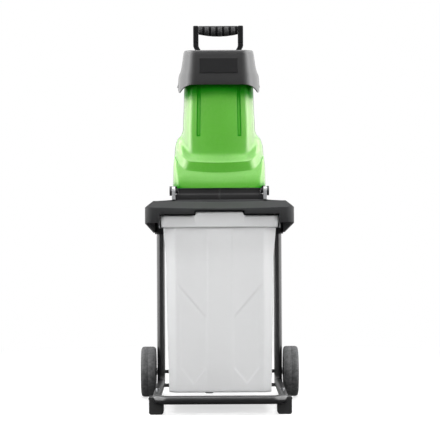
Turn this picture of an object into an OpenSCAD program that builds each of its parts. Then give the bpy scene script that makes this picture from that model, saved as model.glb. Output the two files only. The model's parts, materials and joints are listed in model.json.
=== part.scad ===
// Garden shredder: a hinged motor head with a hopper on a tray, over a pull-out box in a wheeled tube frame.
// Millimetres. +X is right, +Y is back, +Z is up. The origin is on the floor under the middle of the part.

/* [Frame tubes] */
// Distance from the front bar to the axle
frame_len = 420; // [410:5:440]
// Spacing of the two frame tubes
frame_w = 323; // [318:1:328]
// Outside diameter of the frame tubes
tube_d = 22; // [20:1:24]
// Wall of the frame tubes
tube_wall = 1.5; // [1.2:0.1:2]
// Height of the skid tubes' centre line
skid_z = 38; // [36:1:40]
// Bend radius of the legs
leg_bend_r = 22; // [20:1:26]
// Bend radius of the bumper corners
bumper_r = 34; // [30:1:44]
// Diameter of the cross bar
cross_d = 10; // [8:1:12]
// Diameter of the frame bolts
bolt_d = 5; // [4:0.5:6]

/* [Wheels] */
// Diameter of the wheels
wheel_d = 138; // [134:1:144]
// Width of the tyres
tyre_w = 40; // [36:1:44]
// Height of the tyre section
tyre_h = 19; // [16:1:22]
// Diameter of the axle
axle_d = 10; // [8:1:12]

/* [Feet] */
// Width of a foot
foot_w = 36; // [32:1:40]
// Length of a foot
foot_l = 48; // [40:1:56]
// How far a foot wraps above the tube's centre line
foot_wrap = 5; // [3:0.5:7]

/* [Tray] */
// Height of the tray's deck above the floor
deck_z = 540; // [530:1:560]
// How far the tray stands out past the tubes' centre lines at the front
tray_over = 25.5; // [23:0.5:30]
// How much narrower each side of the tray is at the rear
tray_taper = 8; // [4:1:10]
// Wall of the tray
tray_wall = 3.5; // [3:0.25:4]
// Width of the chamfer round the deck
chamfer_w = 21; // [16:1:24]
// Height of the chamfer round the deck
chamfer_h = 17; // [12:1:20]
// Depth of the tray's skirt at the front
skirt_front = 65; // [60:1:70]
// Depth of the tray's skirt at the rear
skirt_rear = 87; // [80:1:92]

/* [Collection box] */
// Height of the box floor
box_floor_z = 54; // [53:0.5:60]
// Wall of the box
box_wall = 3; // [2.5:0.25:4]
// How much each side draws in towards the floor
box_draft = 8.5; // [5:0.5:12]
// Height of the rolled rim
rim_h = 30; // [26:1:34]
// Width of the pull block
pull_w = 120; // [100:1:130]

/* [Head housing] */
// Height of the blade housing
ring_h = 29; // [27:1:34]
// Width of the green housing at its base
head_w = 233; // [229:1:239]
// Depth of the green housing at its base
head_d = 320; // [316:1:330]
// Width of the green housing at its neck
neck_w = 174; // [168:1:178]
// Height of the green housing
shell_h = 269; // [262:1:280]
// Wall of the green housing
shell_wall = 3; // [2.5:0.25:3.5]
// How far the front lip stands out
lip_out = 5; // [3:0.5:7]

/* [Hopper and handle] */
// Height of the collar above the housing
collar_h = 83; // [76:1:90]
// Width of the label plate
label_w = 97; // [80:1:100]
// Height of the label plate
label_h = 38; // [30:1:40]
// Outside width of the handle
handle_w = 135; // [125:1:145]
// Rise of the handle above the collar
handle_rise = 91; // [80:1:100]
// Width of a handle arm
arm_w = 12.7; // [11:0.1:15]

/* [Motor] */
// Diameter of the stator
motor_d = 100; // [94:1:102]
// Height of the stator stack
stack_h = 70; // [60:1:74]
// Diameter of the rotor shaft
shaft_d = 12; // [10:1:12]
// Thickness of the blade disc
disc_t = 8; // [6:0.5:9]

/* [Hidden] */
$fn = 48;
corner_n = 6;
// Clearances: running fit on radius, loose hole on diameter, gap between faces that move apart
run_gap = 0.06;
hole_gap = 0.2;
face_gap = 0.3;

// Frame
axle_z = wheel_d / 2;
front_y = tube_d / 2 - (tube_d / 2 + frame_len + wheel_d / 2) / 2;
axle_y = front_y + frame_len;
tube_x = frame_w / 2;
tube_r = tube_d / 2;
tube_bore = tube_d - 2 * tube_wall;
leg_top = deck_z - 12;
joint_back = 120;
joint_y = front_y + joint_back;
spigot_l = 40;
bolt_y = joint_y + spigot_l / 2;
cross_ahead = 67;
cross_y = axle_y - cross_ahead;
bolt_head = 2 * bolt_d;

// Wheels
wheel_in = tube_x + tube_r + 3.5;
wheel_out = wheel_in + tyre_w;
hub_r = wheel_d / 2 - tyre_h;
washer_t = 1.5;
washer_d = axle_d + 9;
hub_in = tube_x + tube_r + washer_t + 2 * face_gap;
hub_end = wheel_out - 8;
web_out = wheel_out - 14;
cap_r = 20;

// Tray
tray_front = front_y - tube_r + 2;
tray_rear = axle_y + 35;
tray_hw = tube_x + tray_over;
tray_r = 22;
deck_low = deck_z - tray_wall;
socket_d = tube_d + 10;
socket_low = deck_z - skirt_rear - 4;

// Collection box
rim_top = deck_z - 40;
rim_low = rim_top - rim_h;
rim_hw = frame_w / 2 - tube_r - 2;
rim_over = 10.5;
box_hw = rim_hw - rim_over;
box_front = tray_front + 12;
box_rear = axle_y - 15;
box_r = 20;
pull_out = 10;
pull_up = 9;
pad_h = 3;
pad_d = 20;
pad_inset = 60;
rail_t = 2;
rail_x = rim_hw + 1.5;

// Blade housing and hinge
split_z = deck_z + ring_h;
head_z = split_z + face_gap;
head_hw = head_w / 2;
neck_hw = neck_w / 2;
head_front = front_y + 57;
head_rear = head_front + head_d;
head_r = 36;
neck_r = 30;
rear_r = 24;
seam_back = 162;
seam_y = head_front + seam_back;
ring_hw = head_hw - 5.5;
ring_front = head_front + 2;
ring_rear = head_rear - 2;
ring_step = 7;
ring_wall = 4;
flange_t = 4;
flange_in = 22;
hinge_y = head_front;
hinge_z = split_z - 7;
pin_d = 8;
arm_x0 = ring_hw - ring_step + 0.2;
arm_x1 = ring_hw + 0.5;
ear_x0 = ring_hw + 1;
ear_x1 = ear_x0 + 8;
ear_r = 12;
pin_cap_t = 6;

// Cutting plate, motor and rotor, stacked upwards from the plate
plate_t = 8;
plate_hw = ring_hw - ring_step;
plate_top = head_z + plate_t;
plate_screw_ahead = 30;
plate_screw_behind = 90;
plate_screw_y = [seam_y - plate_screw_ahead, seam_y + plate_screw_behind];
motor_back = 200;
motor_y = head_front + motor_back;
boss_h = 12;
fan_z = plate_top + boss_h + 1.5;
fan_h = 7;
coil_h = 6.5;
stack_z = fan_z + fan_h + 1.5 + coil_h;
stack_top = stack_z + stack_h;
comm_z = stack_top + coil_h + 2;
comm_h = 14;
comm_d = 36;
frame_z = comm_z + comm_h + 2;
frame_t = 8;
stator_bore = 0.62 * motor_d;
armature_d = stator_bore - 1;
stud_r = motor_d / 2 + 7;
stud_d = 6;
lug_d = 16;
low_bearing_d = 32;
low_bearing_h = 10;
top_bearing_d = 28;
top_bearing_h = 8;
shaft_top = frame_z + frame_t + 4;
disc_r = ring_hw - ring_step - ring_wall - 2.5;
disc_top = split_z - 12;
disc_low = disc_top - disc_t;
blade_t = 4;
blade_bolts = [40, 76];

// Hopper: neck outline at the top of the housing, chute hole beside the motor
shell_top = head_z + shell_h;
neck_low_share = 0.747;
neck_low = head_z + neck_low_share * shell_h;
neck_set_front = 19;
neck_set_rear = 78;
neck_front = head_front + neck_set_front;
neck_rear = head_rear - neck_set_rear;
chute_wall = 3;
chute_flange = 3;
hole_hw = 38;
hole_l = 37;
hole_rear = motor_y - motor_d / 2 - chute_wall;
hole_front = hole_rear - hole_l;
collar_seat = shell_top + chute_flange;
collar_top = shell_top + collar_h;

// Handle behind the collar
handle_gap = 12;
handle_y = neck_rear + handle_gap;
handle_t = 18;
handle_base = neck_low + 2;
handle_base_h = 34;
handle_top = collar_top + handle_rise;
grip_y = handle_y + handle_t / 2;
grip_z = handle_top - 12;
grip_core_d = 16;
grip_min_d = 23;
grip_max_d = 29;
grip_ribs = 6;

// Controls on the rear wall
panel_x = 23;
panel_z = head_z + 79;
panel_w = 86;
panel_h = 62;
panel_t = 4;
start_x = panel_x - 16;
stop_x = panel_x + 18;
button_z = panel_z + 8;
start_d = 18;
stop_d = 24;
reset_d = 10;
reset_z = panel_z - 20;
inlet_x = -56;
inlet_d = 46;
inlet_recess = 40;

// Lock and interlock switches
lock_y = head_rear + 24;
lock_stud = 8;
bracket_t = 4;
bracket_x0 = -22;
bracket_x1 = 62;
lid_switch_x = 46;
plunger_d = 5;

// Rods along each axis, boxes by corners, and outlines swept across the part

module x_rod(x0, x1, d, y, z) {
    translate([x0, y, z])
        rotate([0, 90, 0])
            cylinder(d = d, h = x1 - x0);
}

module y_rod(y0, y1, d, x, z) {
    translate([x, y0, z])
        rotate([-90, 0, 0])
            cylinder(d = d, h = y1 - y0);
}

module z_rod(z0, z1, d, x, y) {
    translate([x, y, z0])
        cylinder(d = d, h = z1 - z0);
}

module block(low, high) {
    translate(low)
        cube(high - low);
}

module both_sides() {
    children();
    mirror([1, 0, 0])
        children();
}

// An outline in Y and Z, swept from x0 to x1
module across_x(x0, x1) {
    translate([x0, 0, 0])
        rotate([90, 0, 90])
            linear_extrude(x1 - x0)
                children();
}

// An outline in X and Z, swept from y0 to y1
module across_y(y0, y1) {
    translate([0, y1, 0])
        rotate([90, 0, 0])
            linear_extrude(y1 - y0)
                children();
}

// Rounded outlines, counter-clockwise from the left side round the front

function arc(cx, cy, r, a0, a1) =
    [for (k = [0:corner_n])
        let (a = a0 + (a1 - a0) * k / corner_n)
        [cx + r * cos(a), cy + r * sin(a)]];

function rounded(hw, yf, yr, rf, rr) =
    concat(
        arc(rf - hw, yf + rf, rf, 180, 270),
        arc(hw - rf, yf + rf, rf, 270, 360),
        arc(hw - rr, yr - rr, rr, 0, 90),
        arc(rr - hw, yr - rr, rr, 90, 180));

function smooth(t) = t * t * (3 - 2 * t);

// A solid skinned over rings of points. Each ring closes on itself where col_loop is set, and the last ring
// meets the first where row_loop is set. Open rings are walls: first the outside, then the inside.
module skin(rings, row_loop, col_loop) {
    rows = len(rings);
    cols = len(rings[0]);
    half = rows / 2;
    side_faces = [
        for (j = [0:row_loop ? rows - 1 : rows - 2], i = [0:col_loop ? cols - 1 : cols - 2])
            let (j2 = (j + 1) % rows, i2 = (i + 1) % cols)
            each [
                [j * cols + i, j2 * cols + i, j2 * cols + i2],
                [j * cols + i, j2 * cols + i2, j * cols + i2]]];
    end_faces = col_loop ? [] : [
        for (j = [0:half - 2])
            let (k = rows - 1 - j, c = cols - 1)
            each [
                [j * cols, k * cols, (k - 1) * cols], [j * cols, (k - 1) * cols, (j + 1) * cols],
                [j * cols + c, (k - 1) * cols + c, k * cols + c],
                [j * cols + c, (j + 1) * cols + c, (k - 1) * cols + c]]];
    lids = row_loop ? [] : [
        [for (i = [0:cols - 1]) i],
        [for (i = [cols - 1:-1:0]) (rows - 1) * cols + i]];
    polyhedron([for (ring = rings) each ring], concat(side_faces, end_faces, lids));
}

// Frame

module tube_section(d, bore) {
    difference() {
        circle(d = d);
        if (bore > 0)
            circle(d = bore);
    }
}

module leg() {
    difference() {
        union() {
            translate([tube_x, axle_y, skid_z + leg_bend_r])
                linear_extrude(leg_top - skid_z - leg_bend_r)
                    tube_section(tube_d, tube_bore);
            translate([tube_x, axle_y - leg_bend_r, skid_z + leg_bend_r])
                rotate([90, 0, 90])
                    rotate([0, 0, -90])
                        rotate_extrude(angle = 90)
                            translate([leg_bend_r, 0])
                                tube_section(tube_d, tube_bore);
            translate([tube_x, joint_y, skid_z])
                rotate([-90, 0, 0])
                    linear_extrude(axle_y - leg_bend_r - joint_y)
                        tube_section(tube_d, tube_bore);
        }
        x_rod(0, wheel_in, axle_d + hole_gap, axle_y, axle_z);
        x_rod(0, tube_x, cross_d + hole_gap, cross_y, skid_z);
        z_rod(0, skid_z + tube_d, bolt_d + hole_gap, tube_x, bolt_y);
        x_rod(0, wheel_in, bolt_d + hole_gap, axle_y, socket_low + 16);
    }
}

module right_leg() {
    color("#16171a")
        leg();
}

module left_leg() {
    color("#16171a")
        mirror([1, 0, 0])
            leg();
}

// Half of the bumper's centre line, swept with a round section
module bumper_half(d, bore) {
    translate([tube_x - bumper_r, front_y + bumper_r, skid_z])
        rotate([0, 0, -90])
            rotate_extrude(angle = 90)
                translate([bumper_r, 0])
                    tube_section(d, bore);
    translate([tube_x, front_y + bumper_r, skid_z])
        rotate([-90, 0, 0])
            linear_extrude(joint_y - front_y - bumper_r)
                tube_section(d, bore);
}

module front_bumper() {
    spigot_d = tube_bore - hole_gap;
    color("#16171a")
        difference() {
            union() {
                both_sides() {
                    bumper_half(tube_d, tube_bore - 2 * tube_wall);
                    translate([tube_x, joint_y, skid_z])
                        rotate([-90, 0, 0])
                            linear_extrude(spigot_l)
                                tube_section(spigot_d, tube_bore - 2 * tube_wall);
                }
                translate([bumper_r - tube_x, front_y, skid_z])
                    rotate([0, 90, 0])
                        linear_extrude(2 * (tube_x - bumper_r))
                            tube_section(tube_d, tube_bore - 2 * tube_wall);
            }
            both_sides() {
                z_rod(0, skid_z + tube_d, bolt_d + hole_gap, tube_x, bolt_y);
                x_rod(tube_x, wheel_in, bolt_d - 1 + hole_gap, foot_y, skid_z);
            }
        }
}

module cross_bar() {
    color("#1b1c1f")
        x_rod(-tube_x + 6, tube_x - 6, cross_d, cross_y, skid_z);
}

module axle() {
    color("#8d9094")
        x_rod(-hub_end - 4, hub_end + 4, axle_d, axle_y, axle_z);
}

module washer(x0) {
    difference() {
        x_rod(x0, x0 + washer_t, washer_d, axle_y, axle_z);
        x_rod(x0 - 1, x0 + washer_t + 1, axle_d + hole_gap, axle_y, axle_z);
    }
}

module axle_washers() {
    color("#b9bcc0")
        both_sides() {
            washer(tube_x + tube_r + face_gap);
            washer(hub_end + face_gap);
        }
}

module frame_bolts() {
    socket_bolt_z = socket_low + 16;
    socket_x = tube_x - socket_d / 2;
    color("#c9ccd0")
        both_sides() {
            z_rod(skid_z - tube_r - 5, skid_z + tube_r + 3.5, bolt_d, tube_x, bolt_y);
            z_rod(skid_z + tube_r, skid_z + tube_r + 3.5, bolt_head, tube_x, bolt_y);
            z_rod(skid_z - tube_r - 4, skid_z - tube_r, bolt_head, tube_x, bolt_y, $fn = 6);
            x_rod(socket_x - 3, tube_x + tube_r, bolt_d, axle_y, socket_bolt_z);
            x_rod(socket_x - 3, socket_x, bolt_head, axle_y, socket_bolt_z);
            x_rod(tube_x + 4, tube_x + foot_w / 2 + 2, bolt_d - 1, foot_y, skid_z);
            x_rod(tube_x + foot_w / 2, tube_x + foot_w / 2 + 2.5, bolt_head - 2, foot_y, skid_z);
        }
}

// Feet

foot_front = front_y + 15;
foot_y = foot_front + foot_l / 2 + 8;

module foot() {
    top = skid_z + foot_wrap;
    bevel = 4;
    difference() {
        across_y(foot_front, foot_front + foot_l)
            translate([tube_x, 0])
                polygon([
                    [bevel - foot_w / 2, 0], [foot_w / 2 - bevel, 0], [foot_w / 2, bevel], [foot_w / 2, top],
                    [-foot_w / 2, top], [-foot_w / 2, bevel]]);
        bumper_half(tube_d + hole_gap, 0);
        x_rod(tube_x, tube_x + foot_w, bolt_d - 1 + hole_gap, foot_y, skid_z);
    }
}

module right_foot() {
    color("#101113")
        foot();
}

module left_foot() {
    color("#101113")
        mirror([1, 0, 0])
            foot();
}

// Wheels

module tyre() {
    shoulder = 7;
    color("#2b2d30")
        translate([wheel_in, axle_y, axle_z])
            rotate([0, 90, 0])
                rotate_extrude()
                    polygon([
                        [hub_r, 0], [wheel_d / 2 - shoulder, 0], [wheel_d / 2 - 2, shoulder / 3],
                        [wheel_d / 2, shoulder], [wheel_d / 2, tyre_w - shoulder],
                        [wheel_d / 2 - 2, tyre_w - shoulder / 3], [wheel_d / 2 - shoulder, tyre_w],
                        [hub_r, tyre_w]]);
}

module hub() {
    rim_t = 5;
    boss_r = axle_d / 2 + 7;
    bore_r = axle_d / 2 + run_gap;
    color("#232528")
        translate([0, axle_y, axle_z])
            rotate([0, 90, 0])
                rotate_extrude()
                    polygon([
                        [bore_r, hub_in], [boss_r, hub_in], [boss_r, web_out - 7],
                        [hub_r - rim_t, web_out - 7], [hub_r - rim_t, wheel_in + 2],
                        [hub_r, wheel_in + 2], [hub_r, wheel_out - 2],
                        [hub_r - rim_t, wheel_out - 2], [hub_r - rim_t, web_out], [boss_r, web_out],
                        [boss_r, hub_end], [bore_r, hub_end]]);
}

module hub_cap() {
    cap_t = 2.5;
    color("#1a1b1d")
        translate([0, axle_y, axle_z])
            rotate([0, 90, 0])
                rotate_extrude()
                    polygon([
                        [0, wheel_out - cap_t], [cap_r - cap_t, wheel_out - cap_t], [cap_r - cap_t, web_out],
                        [cap_r, web_out], [cap_r, wheel_out - 2], [cap_r - 2, wheel_out], [0, wheel_out]]);
}

module right_tyre() {
    tyre();
}

module right_hub() {
    hub();
}

module right_hub_cap() {
    hub_cap();
}

module left_tyre() {
    mirror([1, 0, 0])
        tyre();
}

module left_hub() {
    mirror([1, 0, 0])
        hub();
}

module left_hub_cap() {
    mirror([1, 0, 0])
        hub_cap();
}

// Tray: plan, front and side outlines meet in one chamfered block, inset for the hollow underneath

module tray_block(inset, open_low) {
    w = tray_hw - inset;
    top = deck_z - inset;
    y0 = tray_front + inset;
    y1 = tray_rear - inset;
    r = tray_r - inset;
    wr = w - tray_taper;
    low = open_low ? 0 : deck_z - skirt_rear;
    front_low = open_low ? 0 : deck_z - skirt_front;
    shoulder = top - chamfer_h;
    intersection() {
        linear_extrude(deck_z + 1)
            polygon(concat(
                arc(r - w, y0 + r, r, 180, 270), arc(w - r, y0 + r, r, 270, 360),
                arc(wr - r, y1 - r, r, 0, 90), arc(r - wr, y1 - r, r, 90, 180)));
        across_y(y0 - 1, y1 + 1)
            polygon([
                [-w, low], [w, low], [w, shoulder], [w - chamfer_w, top],
                [chamfer_w - w, top], [-w, shoulder]]);
        across_x(-w - 1, w + 1)
            polygon([
                [y0, front_low], [axle_y - 40, low], [y1, low], [y1, shoulder], [y1 - chamfer_w, top],
                [y0 + chamfer_w, top], [y0, shoulder]]);
    }
}

module tray() {
    slot_hw = rim_hw + 2;
    slot_top = rim_top + 3;
    notch_hw = pull_w / 2 + 3;
    color("#3a3d42")
        difference() {
            union() {
                difference() {
                    tray_block(0, false);
                    tray_block(tray_wall, true);
                }
                intersection() {
                    tray_block(1, true);
                    both_sides() {
                        z_rod(socket_low, deck_low + 1, socket_d, tube_x, axle_y);
                        block([tube_x, axle_y - 3, deck_z - skirt_rear], [tray_hw, axle_y + 3, deck_low + 1]);
                    }
                }
                z_rod(deck_z - 1, split_z, 26, 0, lock_y);
            }
            block([-slot_hw, tray_front - 1, 0], [slot_hw, tray_front + tray_r, slot_top]);
            block([-notch_hw, tray_front - 1, 0], [notch_hw, tray_front + tray_r, slot_top + pull_up]);
            translate([0, 0, deck_low - 1])
                linear_extrude(tray_wall + 2)
                    polygon(ring_outline(0.5 - flange_in));
            both_sides() {
                z_rod(0, leg_top + face_gap, tube_d + hole_gap, tube_x, axle_y);
                x_rod(tube_x - socket_d, tube_x + tube_r, bolt_d + hole_gap, axle_y, socket_low + 16);
            }
            z_rod(split_z - 20, split_z + 1, lock_stud + 1.6, 0, lock_y);
        }
}

module box_rail() {
    low = rim_low - face_gap - rail_t;
    color("#8f9296")
        across_y(tray_front + tray_wall + chamfer_w + 1, box_rear - 16)
            polygon([
                [box_hw + 1.5, low], [rail_x + rail_t, low], [rail_x + rail_t, deck_low], [rail_x, deck_low],
                [rail_x, low + rail_t], [box_hw + 1.5, low + rail_t]]);
}

module right_box_rail() {
    box_rail();
}

module left_box_rail() {
    mirror([1, 0, 0])
        box_rail();
}

// Collection box: rings run up the outside, round the rolled rim and down the inside

function box_ring(z, out, pulled) =
    let (
        hw = box_hw + out,
        yf = box_front + rim_over - out,
        yr = box_rear - rim_over + out,
        r = max(box_r + out, 6),
        edge = pull_w / 2,
        outline = rounded(hw, yf, yr, r, r),
        before = [for (k = [0:corner_n]) outline[k]],
        front = [for (x = [-edge - 1, -edge, edge, edge + 1]) [x, yf]],
        after = [for (k = [corner_n + 1:len(outline) - 1]) outline[k]])
    [for (p = concat(before, front, after))
        let (on = pulled && p.y == yf && abs(p.x) <= edge)
        [p.x, p.y - (on && out > 0 ? pull_out : 0), z + (on && z == rim_top ? pull_up : 0)]];

module collection_box() {
    lip_t = 3;
    edge_r = 9;
    color([0.80, 0.83, 0.83])
        skin([
            box_ring(box_floor_z, -box_draft - edge_r, false),
            box_ring(box_floor_z + edge_r / 4, -box_draft - edge_r / 4, false),
            box_ring(box_floor_z + edge_r, -box_draft, false),
            box_ring(rim_top - 4, 0, false),
            box_ring(rim_top - 4, rim_over - lip_t, true),
            box_ring(rim_low, rim_over - lip_t, true),
            box_ring(rim_low, rim_over, true),
            box_ring(rim_top, rim_over, true),
            box_ring(rim_top, -box_wall, true),
            box_ring(box_floor_z + edge_r, -box_draft - box_wall, false),
            box_ring(box_floor_z + box_wall, -box_draft - edge_r, false)], false, true);
}

module box_pads() {
    rear_y = box_rear - pad_inset;
    color("#2c2d30")
        for (p = [[-1.4 * pad_d, box_front + 2 * pad_d], [-pad_inset, rear_y], [pad_inset, rear_y]])
            z_rod(box_floor_z - pad_h, box_floor_z, pad_d, p.x, p.y);
}

// Blade housing: one profile carried round a rounded outline

function ring_outline(e) = rounded(ring_hw + e, ring_front - e, ring_rear + e, head_r + e, rear_r + 4 + e);

function lifted(outline, z) = [for (p = outline) [p.x, p.y, z]];

module blade_housing() {
    wall_in = ring_step + ring_wall;
    profile = [
        [0, 0], [ring_h - 16, 0], [ring_h - 7, -ring_step], [ring_h, -ring_step], [ring_h, -wall_in],
        [flange_t, -wall_in], [flange_t, -flange_in], [0, -flange_in]];
    color("#33353a")
        skin([for (p = profile) lifted(ring_outline(p[1]), deck_z + p[0])], true, true);
}

module hinge_ear() {
    difference() {
        across_x(ear_x0, ear_x1)
            union() {
                translate([hinge_y, hinge_z])
                    circle(r = ear_r);
                polygon([
                    [hinge_y - ear_r, deck_z], [hinge_y + 36, deck_z], [hinge_y + 36, deck_z + 12],
                    [hinge_y + ear_r, hinge_z], [hinge_y - ear_r, hinge_z]]);
            }
        x_rod(ear_x0 - 1, ear_x1 + 1, pin_d + 0.04, hinge_y, hinge_z);
    }
}

module hinge_ears() {
    color("#a9acb1")
        both_sides()
            hinge_ear();
}

module hinge_pins() {
    color("#151618")
        both_sides() {
            x_rod(arm_x0, ear_x1 + 0.5, pin_d, hinge_y, hinge_z);
            x_rod(ear_x1, ear_x1 + pin_cap_t, 2 * ear_r, hinge_y, hinge_z);
        }
}

module hinge_arms() {
    knuckle_r = 7;
    color("#5c5f64")
        both_sides()
            difference() {
                across_x(arm_x0, arm_x1)
                    union() {
                        translate([hinge_y, hinge_z])
                            circle(r = knuckle_r);
                        polygon([
                            [hinge_y, hinge_z + 1], [hinge_y + 90, hinge_z + 1], [hinge_y + 90, plate_top],
                            [hinge_y + 34, plate_top], [hinge_y + 34, split_z - face_gap],
                            [hinge_y, split_z - face_gap]]);
                    }
                x_rod(arm_x0 - 1, arm_x1 + 1, pin_d + 2 * run_gap, hinge_y, hinge_z);
            }
}

// Green housing: half width, height and set-back at the front, height at the sides, set-back at the rear.
// Heights are shares of the housing's height.

shell_levels = [
    [head_hw, 0, 0, 0, 0],
    [head_hw - 1.7, 0.082, 2, 0.149, 0],
    [head_hw - 7, 0.141, lip_out - 1, 0.346, 0],
    [head_hw - 7.5, 0.149, -1, 0.36, 0],
    [head_hw - 9.5, 0.249, -1, 0.413, 0],
    [head_hw - 14.5, 0.286, 4.5, 0.476, 2],
    [neck_hw + 5.5, 0.346, 10, 0.532, 11],
    [neck_hw + 3, 0.45, 12.5, 0.58, 22],
    [neck_hw + 2.5, 0.595, 14, 0.643, 40],
    [neck_hw + 2, 0.677, 15, 0.695, 62],
    [neck_hw + 1.5, neck_low_share, 16, neck_low_share, neck_set_rear],
    [neck_hw, 1, neck_set_front, 1, neck_set_rear]];

function level_r(level) = neck_r + (head_r - neck_r) * (level[0] - neck_hw) / (head_hw - neck_hw);

function front_ring(level, inset) =
    let (
        hw = level[0] - inset,
        yf = head_front + level[2] + inset,
        r = level_r(level) - inset,
        path = concat(
            [[-hw, seam_y]],
            arc(r - hw, yf + r, r, 180, 270),
            arc(hw - r, yf + r, r, 270, 360),
            [[hw, seam_y]]),
        rise = [for (k = [0:corner_n]) smooth(k / corner_n)],
        fall = [for (k = [0:corner_n]) smooth(1 - k / corner_n)],
        front = concat([0], rise, fall, [0]))
    [for (i = [0:len(path) - 1])
        let (share = level[3] + (level[1] - level[3]) * front[i])
        [path[i].x, path[i].y, head_z + shell_h * share]];

function rear_ring(level, inset) =
    let (
        hw = level[0] - inset,
        yr = head_rear - level[4] - inset,
        r = rear_r - inset,
        path = concat(
            [[hw, seam_y]], arc(hw - r, yr - r, r, 0, 90), arc(r - hw, yr - r, r, 90, 180), [[-hw, seam_y]]))
    lifted(path, head_z + shell_h * level[3]);

module front_shell() {
    last = len(shell_levels) - 1;
    color("#5fae3f")
        skin(concat(
            [for (level = shell_levels) front_ring(level, 0)],
            [for (k = [last:-1:0]) front_ring(shell_levels[k], shell_wall)]), true, false);
}

module rear_shell() {
    last = len(shell_levels) - 1;
    slots = 6;
    slot_h = 5;
    slot_pitch = 13;
    slot_y = motor_y + 2;
    color("#5fae3f")
        difference() {
            skin(concat(
                [for (level = shell_levels) rear_ring(level, 0)],
                [for (k = [last:-1:0]) rear_ring(shell_levels[k], shell_wall)]), true, false);
            for (k = [0:slots - 1])
                translate([-head_w, slot_y, head_z + 26 + k * slot_pitch])
                    cube([2 * head_w, 76, slot_h]);
            block(
                [panel_x - panel_w / 2 + 8, head_rear - 20, panel_z - panel_h / 2 + 6],
                [panel_x + panel_w / 2 - 8, head_rear + 1, panel_z + panel_h / 2 - 6]);
            y_rod(head_rear - 20, head_rear + 1, inlet_d + hole_gap, inlet_x, panel_z);
        }
}

// Hopper: chute inside the neck, collar round its mouth

module hopper_chute() {
    w = chute_wall;
    mouth_hw = neck_hw - 7.5;
    mouth_front = neck_front + 7;
    mouth_rear = neck_rear - 9;
    knee_z = frame_z + 22;
    outer = [
        [plate_top, hole_hw + w, hole_front - w, hole_rear + w],
        [(plate_top + knee_z) / 2, hole_hw + w + 3, hole_front - w - 9, hole_rear + w],
        [knee_z, hole_hw + w + 15, hole_front - w - 37, hole_rear + w],
        [shell_top - 38, mouth_hw - 5, mouth_front + 6, mouth_rear - 11],
        [shell_top, mouth_hw, mouth_front, mouth_rear],
        [shell_top, neck_hw - 0.2, neck_front + 0.2, neck_rear - 0.2],
        [collar_seat, neck_hw - 0.2, neck_front + 0.2, neck_rear - 0.2]];
    inner = [
        [collar_seat, mouth_hw - w, mouth_front + w, mouth_rear - w],
        for (k = [3:-1:0]) [outer[k][0], outer[k][1] - w, outer[k][2] + w, outer[k][3] - w]];
    color("#2a2c2f")
        skin([
            for (s = concat(outer, inner))
                let (r = s[0] >= shell_top ? neck_r - 8 : 8)
                lifted(rounded(s[1], s[2], s[3], r, r), s[0])], true, true);
}

// The collar's lower edge dips at the sides and rises again at the rear, where the collar is wider
function edge_dip(y) =
    lookup(y - neck_front, [[-20, 0], [0, 0], [60, -15], [160, 6], [240, 10]]);

function edge_flare(y) =
    lookup(y - neck_front, [[0, 0], [60, 0], [180, 9], [230, 4]]);

// Height over the housing, stand-off at the sides, front and rear, share of the edge's dip
function collar_ring(s) =
    let (outline = rounded(neck_hw + s[1], neck_front - s[2], neck_rear + s[3], neck_r + s[1], neck_r + s[1]))
    [for (p = outline)
        [p.x + sign(p.x) * s[4] * edge_flare(p.y), p.y, shell_top + s[0] + s[4] * edge_dip(p.y)]];

module hopper_collar() {
    top = collar_h;
    color("#43464b")
        skin([
            for (s = [
                [-6, 17, 14, 8, 1], [7, 15.5, 13, 7.5, 0.6], [20, 12.9, 11.5, 7, 0.2], [28, 8, 10.5, 6.5, 0],
                [50, 4, 7.5, 5, 0], [67, 1.8, 5, 3, 0], [top - 5, 0, 3, 1, 0], [top, -2.5, 0.5, -1.5, 0],
                [top, -5.5, -3, -4.5, 0], [42, -7, -6, -6.5, 0], [chute_flange, -8, -8, -8, 0],
                [chute_flange, -5, -5, -5, 0], [68, -2.5, -0.5, -2, 0], [50, 1, 4.5, 2, 0],
                [28, 5, 7.5, 3.5, 0], [20, 9.9, 8.5, 4, 0.2], [7, 12.5, 10, 4.5, 0.6], [-6, 14, 11, 5, 1]])
                collar_ring(s)], true, true);
}

module label_plate() {
    tilt = atan(5.5 / 39);
    plate_thick = 1.2;
    color("#26282b")
        translate([0, neck_front - 7.75 - 0.15, shell_top + 47.5])
            rotate([-tilt, 0, 0])
                translate([-label_w / 2, -plate_thick, -label_h / 2 - 5])
                    cube([label_w, plate_thick, label_h]);
}

// Handle

module carry_handle() {
    out = handle_w / 2;
    base_high = handle_base + handle_base_h;
    waist = 12.5;
    bend_top = handle_top - 50;
    bend_low = bend_top - 26;
    color("#1c1d20") {
        difference() {
            union() {
                both_sides()
                    across_y(handle_y, handle_y + handle_t)
                        polygon([
                            [out - arm_w, handle_top], [out - 3, handle_top], [out, handle_top - 3],
                            [out, bend_top], [out - waist, bend_low], [out - waist, handle_base],
                            [out - waist - arm_w, handle_base], [out - waist - arm_w, bend_low + 2],
                            [out - arm_w, bend_top + 2]]);
                block([waist - out, neck_rear + 0.1, handle_base], [out - waist, handle_y + 1, base_high]);
                x_rod(arm_w - out - 1, out - arm_w + 1, grip_core_d, grip_y, grip_z);
            }
            both_sides()
                y_rod(neck_rear - 1, handle_y + 2, 4.2, 20, (handle_base + base_high) / 2);
        }
    }
}

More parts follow.
